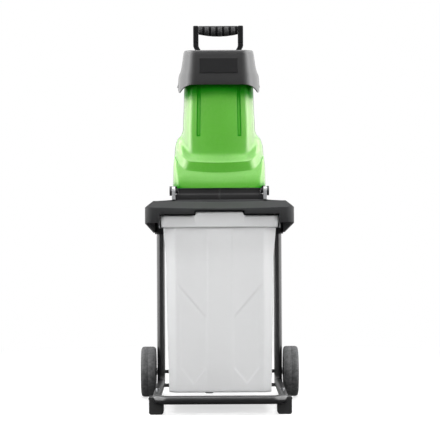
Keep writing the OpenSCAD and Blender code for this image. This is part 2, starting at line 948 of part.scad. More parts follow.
module handle_grip() {
    span = handle_w - 2 * arm_w - 0.4;
    pitch = span / grip_ribs;
    groove = 5.5;
    color("#2e3034")
        difference() {
            union() {
                x_rod(-span / 2, span / 2, grip_min_d - 3, grip_y, handle_top - grip_min_d / 2);
                for (k = [0:grip_ribs - 1])
                    let (
                        x0 = -span / 2 + k * pitch,
                        t = (k + 0.5) / grip_ribs * 2 - 1,
                        d = grip_max_d - (grip_max_d - grip_min_d) * t * t)
                    x_rod(x0, x0 + pitch - groove, d, grip_y, handle_top - d / 2);
            }
            x_rod(-handle_w, handle_w, grip_core_d + 0.04, grip_y, grip_z);
        }
}

// Screws of the housing: into the plate at the sides, through the handle's foot, through the lock bracket

module shell_screws() {
    screw_d = 4;
    head_t = 2.4;
    handle_z = handle_base + handle_base_h / 2;
    color("#9a9da1") {
        both_sides() {
            for (y = plate_screw_y) {
                x_rod(plate_hw, head_hw, screw_d, y, head_z + plate_t / 2);
                x_rod(head_hw - head_t, head_hw + 0.2, 2 * screw_d, y, head_z + plate_t / 2);
            }
            y_rod(neck_rear - shell_wall - 4, handle_y + 2, screw_d, 20, handle_z);
            y_rod(handle_y + 1, handle_y + 1 + head_t, 2 * screw_d, 20, handle_z);
        }
        for (x = [bracket_x0 + 6, bracket_x1 - 6]) {
            y_rod(head_rear - shell_wall - 4, head_rear + bracket_t, screw_d, x, head_z + 24);
            y_rod(head_rear + bracket_t, head_rear + bracket_t + head_t, 2 * screw_d, x, head_z + 24);
        }
    }
}

// Cutting plate under the motor

module cutting_plate() {
    tab_hw = head_hw - shell_wall - 0.45;
    color("#9ea2a6")
        difference() {
            union() {
                translate([0, 0, head_z])
                    linear_extrude(plate_t)
                        polygon(ring_outline(-ring_step));
                z_rod(plate_top - 1, plate_top + boss_h, low_bearing_d + 14, 0, motor_y);
                both_sides()
                    for (y = plate_screw_y)
                        block([plate_hw - 2, y - 10, head_z], [tab_hw, y + 10, plate_top]);
            }
            block([-hole_hw, hole_front, head_z - 1], [hole_hw, hole_rear, plate_top + 1]);
            z_rod(head_z - 1, plate_top + 2, shaft_d + 8, 0, motor_y);
            z_rod(plate_top + boss_h - low_bearing_h - 1, plate_top + boss_h + 1, low_bearing_d, 0, motor_y);
            at_studs()
                z_rod(head_z - 1, plate_top + 1, stud_d + hole_gap, 0, 0);
        }
}

module at_studs() {
    for (a = [45:90:315])
        translate([stud_r * cos(a), motor_y + stud_r * sin(a), 0])
            children();
}

// Lock at the rear

module lock_bracket() {
    corner = [bracket_x0, head_rear + 0.1, head_z];
    color("#6c6f74")
        difference() {
            union() {
                block(corner, [bracket_x1, lock_y + 16, head_z + bracket_t]);
                block(corner, [bracket_x1, head_rear + bracket_t, head_z + 32]);
            }
            z_rod(head_z - 1, head_z + bracket_t + 1, lock_stud + 2 * run_gap, 0, lock_y);
            for (x = [bracket_x0 + 6, bracket_x1 - 6])
                y_rod(head_rear - 1, head_rear + bracket_t + 1, 4.2, x, head_z + 24);
        }
}

module lock_knob() {
    knob_d = 36;
    knob_z = head_z + bracket_t + face_gap;
    knob_h = 24;
    lobes = 6;
    color("#1d1e21") {
        difference() {
            z_rod(knob_z, knob_z + knob_h, knob_d, 0, lock_y);
            for (k = [0:lobes - 1])
                translate([0, lock_y, knob_z + 5])
                    rotate(k * 360 / lobes)
                        translate([knob_d / 2 + 3, 0, 0])
                            cylinder(d = 13, h = knob_h);
        }
        z_rod(head_z - 17, knob_z + 1, lock_stud, 0, lock_y);
    }
}

// Motor

module motor_stator() {
    color("#7d8085")
        difference() {
            union() {
                z_rod(stack_z, stack_top, motor_d, 0, motor_y);
                at_studs()
                    z_rod(stack_z, stack_top, lug_d, 0, 0);
            }
            z_rod(stack_z - 1, stack_top + 1, stator_bore, 0, motor_y);
            at_studs()
                z_rod(stack_z - 1, stack_top + 1, stud_d + hole_gap, 0, 0);
        }
}

module field_coils() {
    coil_d = motor_d - 10;
    coil_bore = stator_bore + 3;
    color("#a4562f")
        for (z = [stack_z - coil_h, stack_top])
            difference() {
                z_rod(z, z + coil_h, coil_d, 0, motor_y);
                z_rod(z - 1, z + coil_h + 1, coil_bore, 0, motor_y);
            }
}

module motor_end_frame() {
    color("#a7abaf")
        difference() {
            union() {
                z_rod(frame_z, frame_z + frame_t, motor_d, 0, motor_y);
                z_rod(frame_z, frame_z + top_bearing_h + 5, top_bearing_d + 10, 0, motor_y);
                at_studs()
                    z_rod(frame_z, frame_z + frame_t, lug_d, 0, 0);
            }
            z_rod(frame_z - 1, frame_z + frame_t + 10, shaft_d + 6, 0, motor_y);
            z_rod(frame_z + 2, frame_z + 2 + top_bearing_h, top_bearing_d, 0, motor_y);
            at_studs()
                z_rod(frame_z - 1, frame_z + frame_t + 1, stud_d + hole_gap, 0, 0);
        }
}

module motor_studs() {
    spacer_d = 12;
    nut_h = 5;
    color("#b4b7bb")
        at_studs() {
            z_rod(head_z + 1, frame_z + frame_t + nut_h + 1, stud_d, 0, 0);
            z_rod(plate_top, stack_z, spacer_d, 0, 0);
            z_rod(stack_top, frame_z, spacer_d, 0, 0);
            z_rod(frame_z + frame_t, frame_z + frame_t + nut_h, spacer_d, 0, 0, $fn = 6);
        }
}

module bearing(z, d, h) {
    difference() {
        z_rod(z, z + h, d, 0, motor_y);
        z_rod(z - 1, z + h + 1, shaft_d + 2 * run_gap, 0, motor_y);
    }
}

module motor_bearings() {
    color("#c4c7cb") {
        bearing(plate_top + boss_h - low_bearing_h - 1, low_bearing_d, low_bearing_h);
        bearing(frame_z + 2, top_bearing_d, top_bearing_h);
    }
}

module brush_holders() {
    color("#6b4a2a")
        both_sides()
            difference() {
                block([comm_d / 2 - 2, motor_y - 7, comm_z + 1], [motor_d / 2 - 4, motor_y + 7, frame_z]);
                z_rod(comm_z - 1, frame_z + 1, comm_d + 1, 0, motor_y);
            }
}

module rotor_shaft() {
    color("#c6c9cd")
        difference() {
            z_rod(disc_low, shaft_top, shaft_d, 0, motor_y);
            z_rod(disc_low - 1, disc_low + 31, 6, 0, motor_y);
        }
}

module on_shaft(z0, z1, d) {
    difference() {
        z_rod(z0, z1, d, 0, motor_y);
        z_rod(z0 - 1, z1 + 1, shaft_d, 0, motor_y);
    }
}

module armature() {
    winding_d = 0.77 * armature_d;
    color("#8c5a38")
        difference() {
            union() {
                z_rod(stack_z, stack_top, armature_d, 0, motor_y);
                z_rod(stack_z - coil_h + 1, stack_top + coil_h - 1, winding_d, 0, motor_y);
            }
            z_rod(stack_z - coil_h, stack_top + coil_h, shaft_d, 0, motor_y);
        }
}

module commutator() {
    color("#b87a3c")
        on_shaft(comm_z, comm_z + comm_h, comm_d);
}

module cooling_fan() {
    vanes = 9;
    hub_d = 30;
    fan_d = motor_d - 8;
    color("#3a3c40")
        difference() {
            union() {
                z_rod(fan_z, fan_z + 2, fan_d, 0, motor_y);
                z_rod(fan_z, fan_z + fan_h, hub_d, 0, motor_y);
                for (k = [0:vanes - 1])
                    translate([0, motor_y, fan_z])
                        rotate(k * 360 / vanes)
                            translate([hub_d / 2 - 2, -1, 0])
                                cube([(fan_d - hub_d) / 2, 2, fan_h]);
            }
            z_rod(fan_z - 1, fan_z + fan_h + 1, shaft_d, 0, motor_y);
        }
}

// Blade disc with two blades over chip slots

module at_blades() {
    for (a = [0, 180])
        translate([0, motor_y, 0])
            rotate(a)
                children();
}

module blade_disc() {
    slot_w = 12;
    color("#85898e")
        difference() {
            union() {
                z_rod(disc_low, disc_top, 2 * disc_r, 0, motor_y);
                z_rod(disc_low, split_z - 3, 30, 0, motor_y);
            }
            z_rod(disc_low - 1, split_z, shaft_d, 0, motor_y);
            at_blades() {
                block([30, 12, disc_low - 1], [disc_r - 12, 12 + slot_w, disc_top + 1]);
                for (x = blade_bolts)
                    z_rod(disc_low - 1, disc_top + 1, 6 + hole_gap, x, 0);
            }
        }
}

module blades() {
    edge_y = 11;
    color("#d0d3d6")
        at_blades()
            difference() {
                across_x(22, disc_r - 5)
                    polygon([
                        [-edge_y, disc_top], [edge_y + 4, disc_top], [edge_y, disc_top + blade_t],
                        [-edge_y, disc_top + blade_t]]);
                for (x = blade_bolts)
                    z_rod(disc_top - 1, disc_top + blade_t + 1, 6 + hole_gap, x, 0);
            }
}

module rotor_screws() {
    color("#adb0b4") {
        z_rod(disc_low - 6, disc_low, 20, 0, motor_y, $fn = 6);
        z_rod(disc_low - 1, disc_low + 28, 6 - hole_gap, 0, motor_y);
        at_blades()
            for (x = blade_bolts) {
                z_rod(disc_low, disc_top + blade_t + 1, 6, x, 0);
                z_rod(disc_top + blade_t, disc_top + blade_t + 2.5, 10, x, 0);
            }
    }
}

// Controls on the rear wall

module control_panel() {
    y0 = head_rear + 0.1;
    color("#26282c")
        difference() {
            block(
                [panel_x - panel_w / 2, y0, panel_z - panel_h / 2],
                [panel_x + panel_w / 2, y0 + panel_t, panel_z + panel_h / 2]);
            y_rod(y0 - 1, y0 + panel_t + 1, start_d + 0.8, start_x, button_z);
            y_rod(y0 - 1, y0 + panel_t + 1, stop_d + 0.8, stop_x, button_z);
            y_rod(y0 - 1, y0 + panel_t + 1, reset_d + 0.8, panel_x, reset_z);
        }
}

module switch_block() {
    y1 = head_rear + 0.1;
    y0 = y1 - 32;
    depth = 26;
    color("#1a1b1e")
        difference() {
            block(
                [panel_x - panel_w / 2 + 10, y0, panel_z - panel_h / 2 + 4 + 3.5],
                [panel_x + panel_w / 2 - 10, y1, panel_z + panel_h / 2 - 4 - 3.5]);
            y_rod(y1 - depth, y1 + 1, start_d + 0.8, start_x, button_z);
            y_rod(y1 - depth, y1 + 1, stop_d + 0.8, stop_x, button_z);
            y_rod(y1 - depth, y1 + 1, reset_d + 0.8, panel_x, reset_z);
        }
}

module push_button(d, x, z, out) {
    y1 = head_rear + panel_t + out;
    y_rod(head_rear - 18, y1 - 1, d, x, z);
    y_rod(y1 - 1.5, y1, d - 2, x, z);
}

module start_button() {
    color("#3f9b45")
        push_button(start_d, start_x, button_z, 4);
}

module stop_button() {
    color("#c23230")
        push_button(stop_d, stop_x, button_z, 5);
}

module reset_button() {
    color("#202124")
        push_button(reset_d, panel_x, reset_z, 3.5);
}

module power_inlet() {
    y1 = head_rear + panel_t;
    depth = 28;
    color("#17181a")
        difference() {
            union() {
                y_rod(y1 - depth - 4, y1, inlet_d, inlet_x, panel_z);
                y_rod(head_rear + 0.1, y1, inlet_d + 8, inlet_x, panel_z);
            }
            y_rod(y1 - depth, y1 + 1, inlet_recess, inlet_x, panel_z);
            for (dx = [-9.5, 9.5])
                y_rod(y1 - depth - 5, y1 - depth + 1, 4.8 + 0.04, inlet_x + dx, panel_z);
        }
}

module inlet_pins() {
    y1 = head_rear + panel_t;
    color("#d4c69a")
        for (dx = [-9.5, 9.5])
            y_rod(y1 - 32, y1 - 8, 4.8, inlet_x + dx, panel_z);
}

// Interlock switches: one under the lock bracket, one behind the box

module lid_switch() {
    color("#202225")
        difference() {
            block([lid_switch_x - 12, lock_y - 9, deck_z], [lid_switch_x + 12, lock_y + 9, deck_z + 16]);
            z_rod(deck_z + 4, deck_z + 17, plunger_d + 0.8, lid_switch_x, lock_y);
        }
}

module lid_plunger() {
    color("#d8d8d2")
        z_rod(deck_z + 9, head_z - face_gap, plunger_d, lid_switch_x, lock_y);
}

module box_switch() {
    z = rim_top - 14;
    color("#202225")
        difference() {
            block([-14, box_rear + 6, z - 10], [14, box_rear + 26, deck_low]);
            y_rod(box_rear + 5, box_rear + 20, plunger_d + 0.8, 0, z);
        }
}

module box_plunger() {
    color("#d8d8d2")
        y_rod(box_rear + face_gap, box_rear + 15, plunger_d, 0, rim_top - 14);
}

left_leg();
right_leg();
front_bumper();
cross_bar();
axle();
axle_washers();
left_foot();
right_foot();
frame_bolts();
tray();
left_box_rail();
right_box_rail();
blade_housing();
hinge_ears();
hinge_pins();
lid_switch();
box_switch();
left_tyre();
left_hub();
left_hub_cap();
right_tyre();
right_hub();
right_hub_cap();
collection_box();
box_pads();
front_shell();
rear_shell();
hopper_collar();
label_plate();
hopper_chute();
carry_handle();
handle_grip();
shell_screws();
cutting_plate();
hinge_arms();
lock_bracket();
motor_stator();
field_coils();
motor_end_frame();
motor_studs();
motor_bearings();
brush_holders();
control_panel();
switch_block();
power_inlet();
inlet_pins();
rotor_shaft();
armature();
commutator();
cooling_fan();
blade_disc();
blades();
rotor_screws();
lock_knob();
start_button();
stop_button();
reset_button();
lid_plunger();
box_plunger();
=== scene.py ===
"""Looks of the garden shredder: camera, studio, materials, and its moulded, rolled and turned pieces.

Sizes of the part are millimetres in its frame: +X right, +Y back, +Z up. The camera, the studio, the
materials and the finished meshes are in metres.
"""

import json
import math

import bmesh
import bpy
import numpy as np
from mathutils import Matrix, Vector

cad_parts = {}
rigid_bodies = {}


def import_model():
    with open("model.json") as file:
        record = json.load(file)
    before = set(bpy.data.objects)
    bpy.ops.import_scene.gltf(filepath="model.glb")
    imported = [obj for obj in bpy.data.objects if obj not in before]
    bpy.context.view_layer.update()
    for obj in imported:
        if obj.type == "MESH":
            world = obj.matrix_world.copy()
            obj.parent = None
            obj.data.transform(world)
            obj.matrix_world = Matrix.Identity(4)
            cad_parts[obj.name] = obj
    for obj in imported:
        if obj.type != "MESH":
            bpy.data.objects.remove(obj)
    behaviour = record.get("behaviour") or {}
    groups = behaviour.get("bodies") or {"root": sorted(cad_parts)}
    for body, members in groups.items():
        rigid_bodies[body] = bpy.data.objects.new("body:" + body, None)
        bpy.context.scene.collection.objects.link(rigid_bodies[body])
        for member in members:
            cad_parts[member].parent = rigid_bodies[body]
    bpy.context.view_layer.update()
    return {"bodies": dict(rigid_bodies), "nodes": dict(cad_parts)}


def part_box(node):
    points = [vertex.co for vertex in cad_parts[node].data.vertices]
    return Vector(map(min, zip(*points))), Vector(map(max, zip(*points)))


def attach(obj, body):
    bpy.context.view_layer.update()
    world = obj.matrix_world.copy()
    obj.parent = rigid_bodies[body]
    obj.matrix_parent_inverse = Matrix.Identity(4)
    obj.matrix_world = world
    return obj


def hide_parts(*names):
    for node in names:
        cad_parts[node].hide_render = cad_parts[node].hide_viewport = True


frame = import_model()
nodes = frame["nodes"]
scene = bpy.context.scene
scene.view_settings.view_transform = "Standard"
kept = set(nodes.values()) | set(frame["bodies"].values())
for spare in [o for o in bpy.data.objects if o not in kept]:
    bpy.data.objects.remove(spare)

MM = 0.001
X, Y, Z = 0, 1, 2

# Sizes of the part, from the boxes of its nodes


def extent(node):
    """The lowest and the highest corner of a node at rest, in millimetres."""
    return [[round(value / MM, 2) for value in corner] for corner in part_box(node)]


def middle(node, axis):
    low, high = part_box(node)
    return round((low[axis] + high[axis]) / 2 / MM, 1)


# Green housing, whose face starts behind the solid's lip, and the openings at its rear
LIP = 1.0
shell_low, shell_high = extent("front_shell")
HEAD_Z = shell_low[Z]
HEAD_FRONT = shell_low[Y] + LIP
HEAD_REAR = extent("rear_shell")[1][Y]
SEAM_Y = shell_high[Y]
SHELL_TOP = shell_high[Z]
SHELL_TALL = SHELL_TOP - HEAD_Z
MOTOR_Y = middle("motor_stator", Y)
PANEL_X = middle("control_panel", X)
PANEL_Z = middle("control_panel", Z)
INLET_X = middle("power_inlet", X)

# Neck of the hopper, which stands just clear of the chute
CHUTE_GAP = 0.2
chute_low, chute_high = extent("hopper_chute")
NECK_HW = chute_high[X] + CHUTE_GAP
NECK_FRONT = chute_low[Y] - CHUTE_GAP
NECK_REAR = chute_high[Y] + CHUTE_GAP

# Carrying handle
handle_low, handle_high = extent("carry_handle")
HANDLE_T = 18.0
HANDLE_HW = handle_high[X]
HANDLE_TOP = handle_high[Z]
HANDLE_BASE = handle_low[Z]
HANDLE_FRONT = handle_high[Y] - HANDLE_T
HANDLE_MID = handle_high[Y] - HANDLE_T / 2

# Collection box, without the pull block that stands out and up at its front
PULL_OUT = 10.0
PULL_UP = 9.0
RIM_OVER = 10.5
box_low, box_high = extent("collection_box")
BOX_HW = box_high[X] - RIM_OVER
BOX_FRONT = box_low[Y] + PULL_OUT
BOX_REAR = box_high[Y]
BOX_FLOOR = box_low[Z]
RIM_TOP = box_high[Z] - PULL_UP

# Wheels, which stand on the floor
tyre_low, tyre_high = extent("right_tyre")
hub_low, hub_high = extent("left_hub")
WHEEL_IN = tyre_low[X]
TYRE_W = tyre_high[X] - tyre_low[X]
HUB_R = (hub_high[Z] - hub_low[Z]) / 2
AXLE_Y = middle("axle", Y)
AXLE_Z = middle("axle", Z)
WHEEL_R = AXLE_Z

# Tray, and the blade housing on it, whose stepped face stands out
STEP_OUT = 4.0
ring_low, ring_high = extent("blade_housing")
DECK_Z = ring_low[Z]
RING_HW = ring_high[X]
RING_FRONT = ring_low[Y]
RING_FACE = RING_FRONT - STEP_OUT
TRAY_FRONT = extent("tray")[0][Y]

# Camera at the photograph's angle


def make_camera():
    data = bpy.data.cameras.new("camera")
    data.lens = 128.45
    data.sensor_width = 36
    data.shift_x = 0.0147
    data.shift_y = -0.0045
    data.clip_end = 200
    camera = bpy.data.objects.new("camera", data)
    camera.location = (-0.015, -4.164, 0.493)
    camera.rotation_euler = (math.radians(90), math.radians(0.3), 0)
    scene.collection.objects.link(camera)
    scene.camera = camera


# Shader helpers


def combine(tree, operation, a, b):
    node = tree.nodes.new("ShaderNodeMath")
    node.operation = operation
    tree.links.new(a, node.inputs[0])
    tree.links.new(b, node.inputs[1])
    return node.outputs[0]


def combine_vectors(tree, operation, *vectors):
    """The number that a vector operation gives, such as a length or a dot product."""
    node = tree.nodes.new("ShaderNodeVectorMath")
    node.operation = operation
    for vector, socket in zip(vectors, node.inputs):
        tree.links.new(vector, socket)
    return node.outputs["Value"]


def coordinates(tree, kind):
    return tree.nodes.new("ShaderNodeTexCoord").outputs[kind]


def component(tree, vector, axis):
    split = tree.nodes.new("ShaderNodeSeparateXYZ")
    tree.links.new(vector, split.inputs[0])
    return split.outputs[axis]


def map_range(tree, value, low, high, at_low, at_high, kind="SMOOTHSTEP"):
    node = tree.nodes.new("ShaderNodeMapRange")
    node.interpolation_type = kind
    for socket, number in (("From Min", low), ("From Max", high), ("To Min", at_low), ("To Max", at_high)):
        node.inputs[socket].default_value = number
    tree.links.new(value, node.inputs["Value"])
    return node.outputs["Result"]


def mix_shaders(tree, fac, a, b):
    mix = tree.nodes.new("ShaderNodeMixShader")
    for socket, value in zip(mix.inputs, (fac, a, b)):
        tree.links.new(value, socket)
    return mix.outputs[0]


def mix_colour(tree, fac, a, b):
    """A mix of two colours, each a socket or plain numbers."""
    mix = tree.nodes.new("ShaderNodeMix")
    mix.data_type = "RGBA"
    tree.links.new(fac, mix.inputs["Factor"])
    for socket, value in (("A", a), ("B", b)):
        target = next(s for s in mix.inputs if s.name == socket and s.type == "RGBA")
        if isinstance(value, bpy.types.NodeSocket):
            tree.links.new(value, target)
        else:
            target.default_value = (*value, 1)
    return next(s for s in mix.outputs if s.type == "RGBA")


def link_noise(tree, coords, scale, detail, rough, stretch=None):
    noise = tree.nodes.new("ShaderNodeTexNoise")
    noise.inputs["Scale"].default_value = scale
    noise.inputs["Detail"].default_value = detail
    noise.inputs["Roughness"].default_value = rough
    if stretch:
        mapping = tree.nodes.new("ShaderNodeMapping")
        mapping.inputs["Scale"].default_value = stretch
        tree.links.new(coords, mapping.inputs["Vector"])
        coords = mapping.outputs["Vector"]
    tree.links.new(coords, noise.inputs["Vector"])
    return noise.outputs["Fac"]


def bump(tree, height, normal, strength, distance):
    node = tree.nodes.new("ShaderNodeBump")
    node.inputs["Strength"].default_value = strength
    node.inputs["Distance"].default_value = distance
    tree.links.new(height, node.inputs["Height"])
    tree.links.new(normal, node.inputs["Normal"])
    return node.outputs[0]


# Studio: white surroundings, a pale floor that keeps the shadow, soft lamps

WHITE = (1, 1, 1, 1)
FILL_LEVEL = 0.14
FLOOR_HW = 40
FLOOR_BOUNCE = (0.28, 0.28, 0.28, 1)
FLOOR_NEAR, FLOOR_FAR = 0.5, 1.9


def seen_rays(tree):
    """Two switches: one for rays of the camera, one for those of the camera, of gloss and of glass."""
    path = tree.nodes.new("ShaderNodeLightPath")
    camera = path.outputs["Is Camera Ray"]
    shown = combine(tree, "MAXIMUM", camera, path.outputs["Is Glossy Ray"])
    return camera, combine(tree, "MAXIMUM", shown, path.outputs["Is Transmission Ray"])


def make_world():
    """White to the camera, bright behind and above to gloss and glass, and a dim fill for the rest."""
    world = bpy.data.worlds.new("studio")
    scene.world = world
    world.use_nodes = True
    tree = world.node_tree
    tree.nodes.clear()
    camera, seen = seen_rays(tree)
    direction = coordinates(tree, "Generated")
    behind = map_range(tree, component(tree, direction, "Y"), low=-0.5, high=0.3, at_low=0.03, at_high=0.5)
    above = map_range(tree, component(tree, direction, "Z"), low=0.3, high=0.85, at_low=0.0, at_high=0.8)
    around = combine(tree, "MAXIMUM", behind, above)
    shown = tree.nodes.new("ShaderNodeBackground")
    shown.inputs["Color"].default_value = WHITE
    tree.links.new(combine(tree, "MAXIMUM", camera, around), shown.inputs["Strength"])
    fill = tree.nodes.new("ShaderNodeBackground")
    fill.inputs["Color"].default_value = WHITE
    fill.inputs["Strength"].default_value = FILL_LEVEL
    out = tree.nodes.new("ShaderNodeOutputWorld")
    tree.links.new(mix_shaders(tree, seen, fill.outputs[0], shown.outputs[0]), out.inputs["Surface"])


def floor_material():
    """A glow that is white far off, a matt floor near the part, and grey for the light it sends back."""
    mat = bpy.data.materials.new("floor_pale")
    mat.use_nodes = True
    tree = mat.node_tree
    tree.nodes.clear()
    camera, seen = seen_rays(tree)
    coords = coordinates(tree, "Object")
    behind = map_range(tree, component(tree, coords, "Y"), low=-0.4, high=0.5, at_low=0.05, at_high=0.5)
    level = combine(tree, "MAXIMUM", camera, behind)
    far = combine_vectors(tree, "LENGTH", coords)
    glow_level = map_range(tree, far, FLOOR_NEAR, FLOOR_FAR, at_low=0.62, at_high=1.0)
    matt_level = map_range(tree, far, FLOOR_NEAR, FLOOR_FAR, at_low=0.5, at_high=0.0)
    glow = tree.nodes.new("ShaderNodeEmission")
    tree.links.new(combine(tree, "MULTIPLY", glow_level, level), glow.inputs["Strength"])
    matt = tree.nodes.new("ShaderNodeBsdfDiffuse")
    tree.links.new(combine(tree, "MULTIPLY", matt_level, level), matt.inputs["Color"])
    add = tree.nodes.new("ShaderNodeAddShader")
    tree.links.new(glow.outputs[0], add.inputs[0])
    tree.links.new(matt.outputs[0], add.inputs[1])
    bounce = tree.nodes.new("ShaderNodeBsdfDiffuse")
    bounce.inputs["Color"].default_value = FLOOR_BOUNCE
    out = tree.nodes.new("ShaderNodeOutputMaterial")
    tree.links.new(mix_shaders(tree, seen, bounce.outputs[0], add.outputs[0]), out.inputs["Surface"])
    return mat


def make_floor():
    mesh = bpy.data.meshes.new("floor")
    corners = [(FLOOR_HW * x, FLOOR_HW * y, 0) for x, y in ((-1, -1), (1, -1), (1, 1), (-1, 1))]
    mesh.from_pydata(corners, [], [(0, 1, 2, 3)])
    floor = bpy.data.objects.new("floor", mesh)
    scene.collection.objects.link(floor)
    mesh.materials.append(floor_material())


# Lamps: name, place, aim, width and height, power. Boxes light surfaces, and panels show in the gloss alone.
MIDDLE_LAMPS = [
    ("top_box", (0, -1.1, 3.2), (0, -0.12, 0.7), (1.8, 1.5), 78),
    ("front_box", (0, -2.9, 2.3), (0, 0, 0.5), (2.4, 1.6), 51),
    ("back_box", (0, 2.2, 2.6), (0, 0, 0.6), (2.2, 1.6), 60),
]
# Lamps of the right side, which the left side mirrors
SIDE_LAMPS = [
    ("box", (2.0, 0.2, 1.1), (0, 0, 0.65), (1.8, 2.2), 11),
    ("panel", (1.7, -0.85, 1.75), (0, -0.85, 1.6), (1.95, 4.0), 112),
    ("mid_panel", (1.7, -2.1, 2.0), (0, -1.5, 1.6), (1.3, 3.2), 42),
    ("roof_panel", (1.05, -0.4, 3.5), (0.2, -0.5, 0.7), (1.4, 3.6), 46),
    ("rear_panel", (1.7, 1.1, 1.75), (0, 1.1, 1.6), (1.95, 4.0), 80),
]


def make_lamp(name, place, aim, size, power, mirror=1):
    data = bpy.data.lights.new(name, "AREA")
    data.shape = "RECTANGLE"
    data.size, data.size_y = size
    data.energy = power
    lamp = bpy.data.objects.new(name, data)
    side = Vector((mirror, 1, 1))
    lamp.location = Vector(place) * side
    lamp.rotation_euler = ((Vector(aim) - Vector(place)) * side).to_track_quat("-Z", "Y").to_euler()
    lamp.visible_diffuse = name.endswith("box")
    lamp.visible_glossy = name.endswith("panel")
    scene.collection.objects.link(lamp)


def make_lamps():
    for lamp in MIDDLE_LAMPS:
        make_lamp(*lamp)
    for side, mirror in (("left", -1), ("right", 1)):
        for kind, *lamp in SIDE_LAMPS:
            make_lamp(f"{side}_{kind}", *lamp, mirror)


# Materials: every finish has a cloudy tint and a grain for gloss and relief, some have lighter edges, as wear
# and as a painted highlight, and one has painted shade in its hollows and under an overhang

FINISHES = {}
NOISE_RANGE = (0.3, 0.7)
GLOSS_SPREAD = 0.06
RIDGE_HEIGHT = 0.0006
# Radians of a wave texture per metre, at a scale of 1
WAVE_RADIANS = 20
# Share of open sky over a surface, for painted shade: none painted, where the painted shade has taken all
# gloss, where its dark colour is full
SKY_OPEN, SKY_NO_GLOSS, SKY_FULL_SHADE = 0.96, 0.78, 0.74
# Share of the sky that an overhang takes away, which paints shade under it
OVERHANG_SHADE = 0.14
# Specular level where the painted shade has taken the gloss, and the painted shade's full strength
RECESS_SHADE_SPECULAR = 0.05
RECESS_SHADE_PAINT = 0.95


def rub_and_highlight_edges(tree, shade, edge_colour, rounded, clouds):
    """A lighter colour where the rounded normal leaves the flat one, in patches: wear, and a painted edge
    highlight.
    """
    flat = tree.nodes.new("ShaderNodeNewGeometry").outputs["Normal"]
    facing = combine_vectors(tree, "DOT_PRODUCT", rounded, flat)
    at_edge = map_range(tree, facing, low=0.97, high=0.8, at_low=0, at_high=1)
    patches = map_range(tree, clouds, low=0.35, high=0.6, at_low=0.15, at_high=0.8)
    return mix_colour(tree, combine(tree, "MULTIPLY", at_edge, patches), shade, edge_colour)


def tint_recesses(tree, shader, shade, coords, recess):
    """Paints shade into hollows up to the given reach: a dark colour, and the gloss taken away.

    The last argument is (colour of the painted shade, reach, low, high): the painted shade grows further
    under an overhang, from the height low up to high.
    """
    # Painted shade: deep is its colour; ambient occlusion, and a ramp in height under an overhang, set how
    # dark the colour gets and how much gloss goes
    deep, reach, low, high = recess
    hollow = tree.nodes.new("ShaderNodeAmbientOcclusion")
    hollow.samples = 8
    hollow.inputs["Distance"].default_value = reach
    overhang = map_range(tree, component(tree, coords, "Z"), low, high, 0.0, -OVERHANG_SHADE)
    sky = combine(tree, "ADD", hollow.outputs["AO"], overhang)
    for socket, in_recess in (("Specular IOR Level", RECESS_SHADE_SPECULAR), ("Coat Weight", 0.0)):
        gloss = map_range(tree, sky, SKY_OPEN, SKY_NO_GLOSS, shader.inputs[socket].default_value, in_recess)
        tree.links.new(gloss, shader.inputs[socket])
    return mix_colour(tree, map_range(tree, sky, SKY_OPEN, SKY_FULL_SHADE, 0.0, RECESS_SHADE_PAINT), shade, deep)


def add_ridges(tree, normal, coords, axis, per_metre, strength):
    wave = tree.nodes.new("ShaderNodeTexWave")
    wave.bands_direction = axis
    wave.inputs["Scale"].default_value = per_metre * math.tau / WAVE_RADIANS
    wave.inputs["Distortion"].default_value = 0.3
    tree.links.new(coords, wave.inputs["Vector"])
    return bump(tree, wave.outputs["Fac"], normal, strength, RIDGE_HEIGHT)


def material(
    name, colour, rough, metal=0.0, tint=0.08, cloud=16, grain=1500, relief=0.15, depth=0.00025, stretch=None,
    rubbed=None, edge=0.0012, coat=0.0, coat_rough=0.1, specular=0.5, gloss_tint=(1, 1, 1), ior=1.5,
    transmission=0.0, ridges=None, recess=None,
):
    """cloud and grain are spots per metre, and stretch scales the grain along each axis.

    relief and depth are the grain's strength and height, edge is the radius that edges seem to have, and
    the colour that edges take is what they wear to, and also a painted highlight on them. ridges is (axis,
    ridges per metre, strength), and the last argument gives the painted shade of hollows and under an
    overhang.
    """
    mat = bpy.data.materials.new(name)
    mat.use_nodes = True
    tree = mat.node_tree
    shader = tree.nodes["Principled BSDF"]
    constants = {
        "Metallic": metal, "Specular IOR Level": specular, "Specular Tint": (*gloss_tint, 1), "IOR": ior,
        "Coat Weight": coat, "Coat Roughness": coat_rough, "Transmission Weight": transmission}
    for socket, value in constants.items():
        shader.inputs[socket].default_value = value
    coords = coordinates(tree, "Object")
    clouds = link_noise(tree, coords, cloud, detail=4.0, rough=0.55)
    fine = link_noise(tree, coords, grain, detail=2.0, rough=0.6, stretch=stretch)
    bevel = tree.nodes.new("ShaderNodeBevel")
    bevel.samples = 4
    bevel.inputs["Radius"].default_value = edge
    normal = bevel.outputs[0]
    dark = [c * (1 - tint) for c in colour]
    light = [min(1.0, c * (1 + tint)) for c in colour]
    shade = mix_colour(tree, map_range(tree, clouds, *NOISE_RANGE, 0, 1), dark, light)
    if rubbed:
        shade = rub_and_highlight_edges(tree, shade, rubbed, normal, clouds)
    if recess:
        shade = tint_recesses(tree, shader, shade, coords, recess)
    if ridges:
        normal = add_ridges(tree, normal, coords, *ridges)
    gloss = map_range(tree, fine, *NOISE_RANGE, rough - GLOSS_SPREAD, rough + GLOSS_SPREAD, "LINEAR")
    tree.links.new(shade, shader.inputs["Base Color"])
    tree.links.new(gloss, shader.inputs["Roughness"])
    tree.links.new(bump(tree, fine, normal, relief, depth), shader.inputs["Normal"])
    return mat


def dress(name, worn_by, colour, rough, **detail):
    """Makes a material, and puts it on the nodes that wear it."""
    FINISHES[name] = material(name, colour, rough, **detail)
    for node in worn_by.split():
        slots = nodes[node].data.materials
        slots.clear()
        slots.append(FINISHES[name])


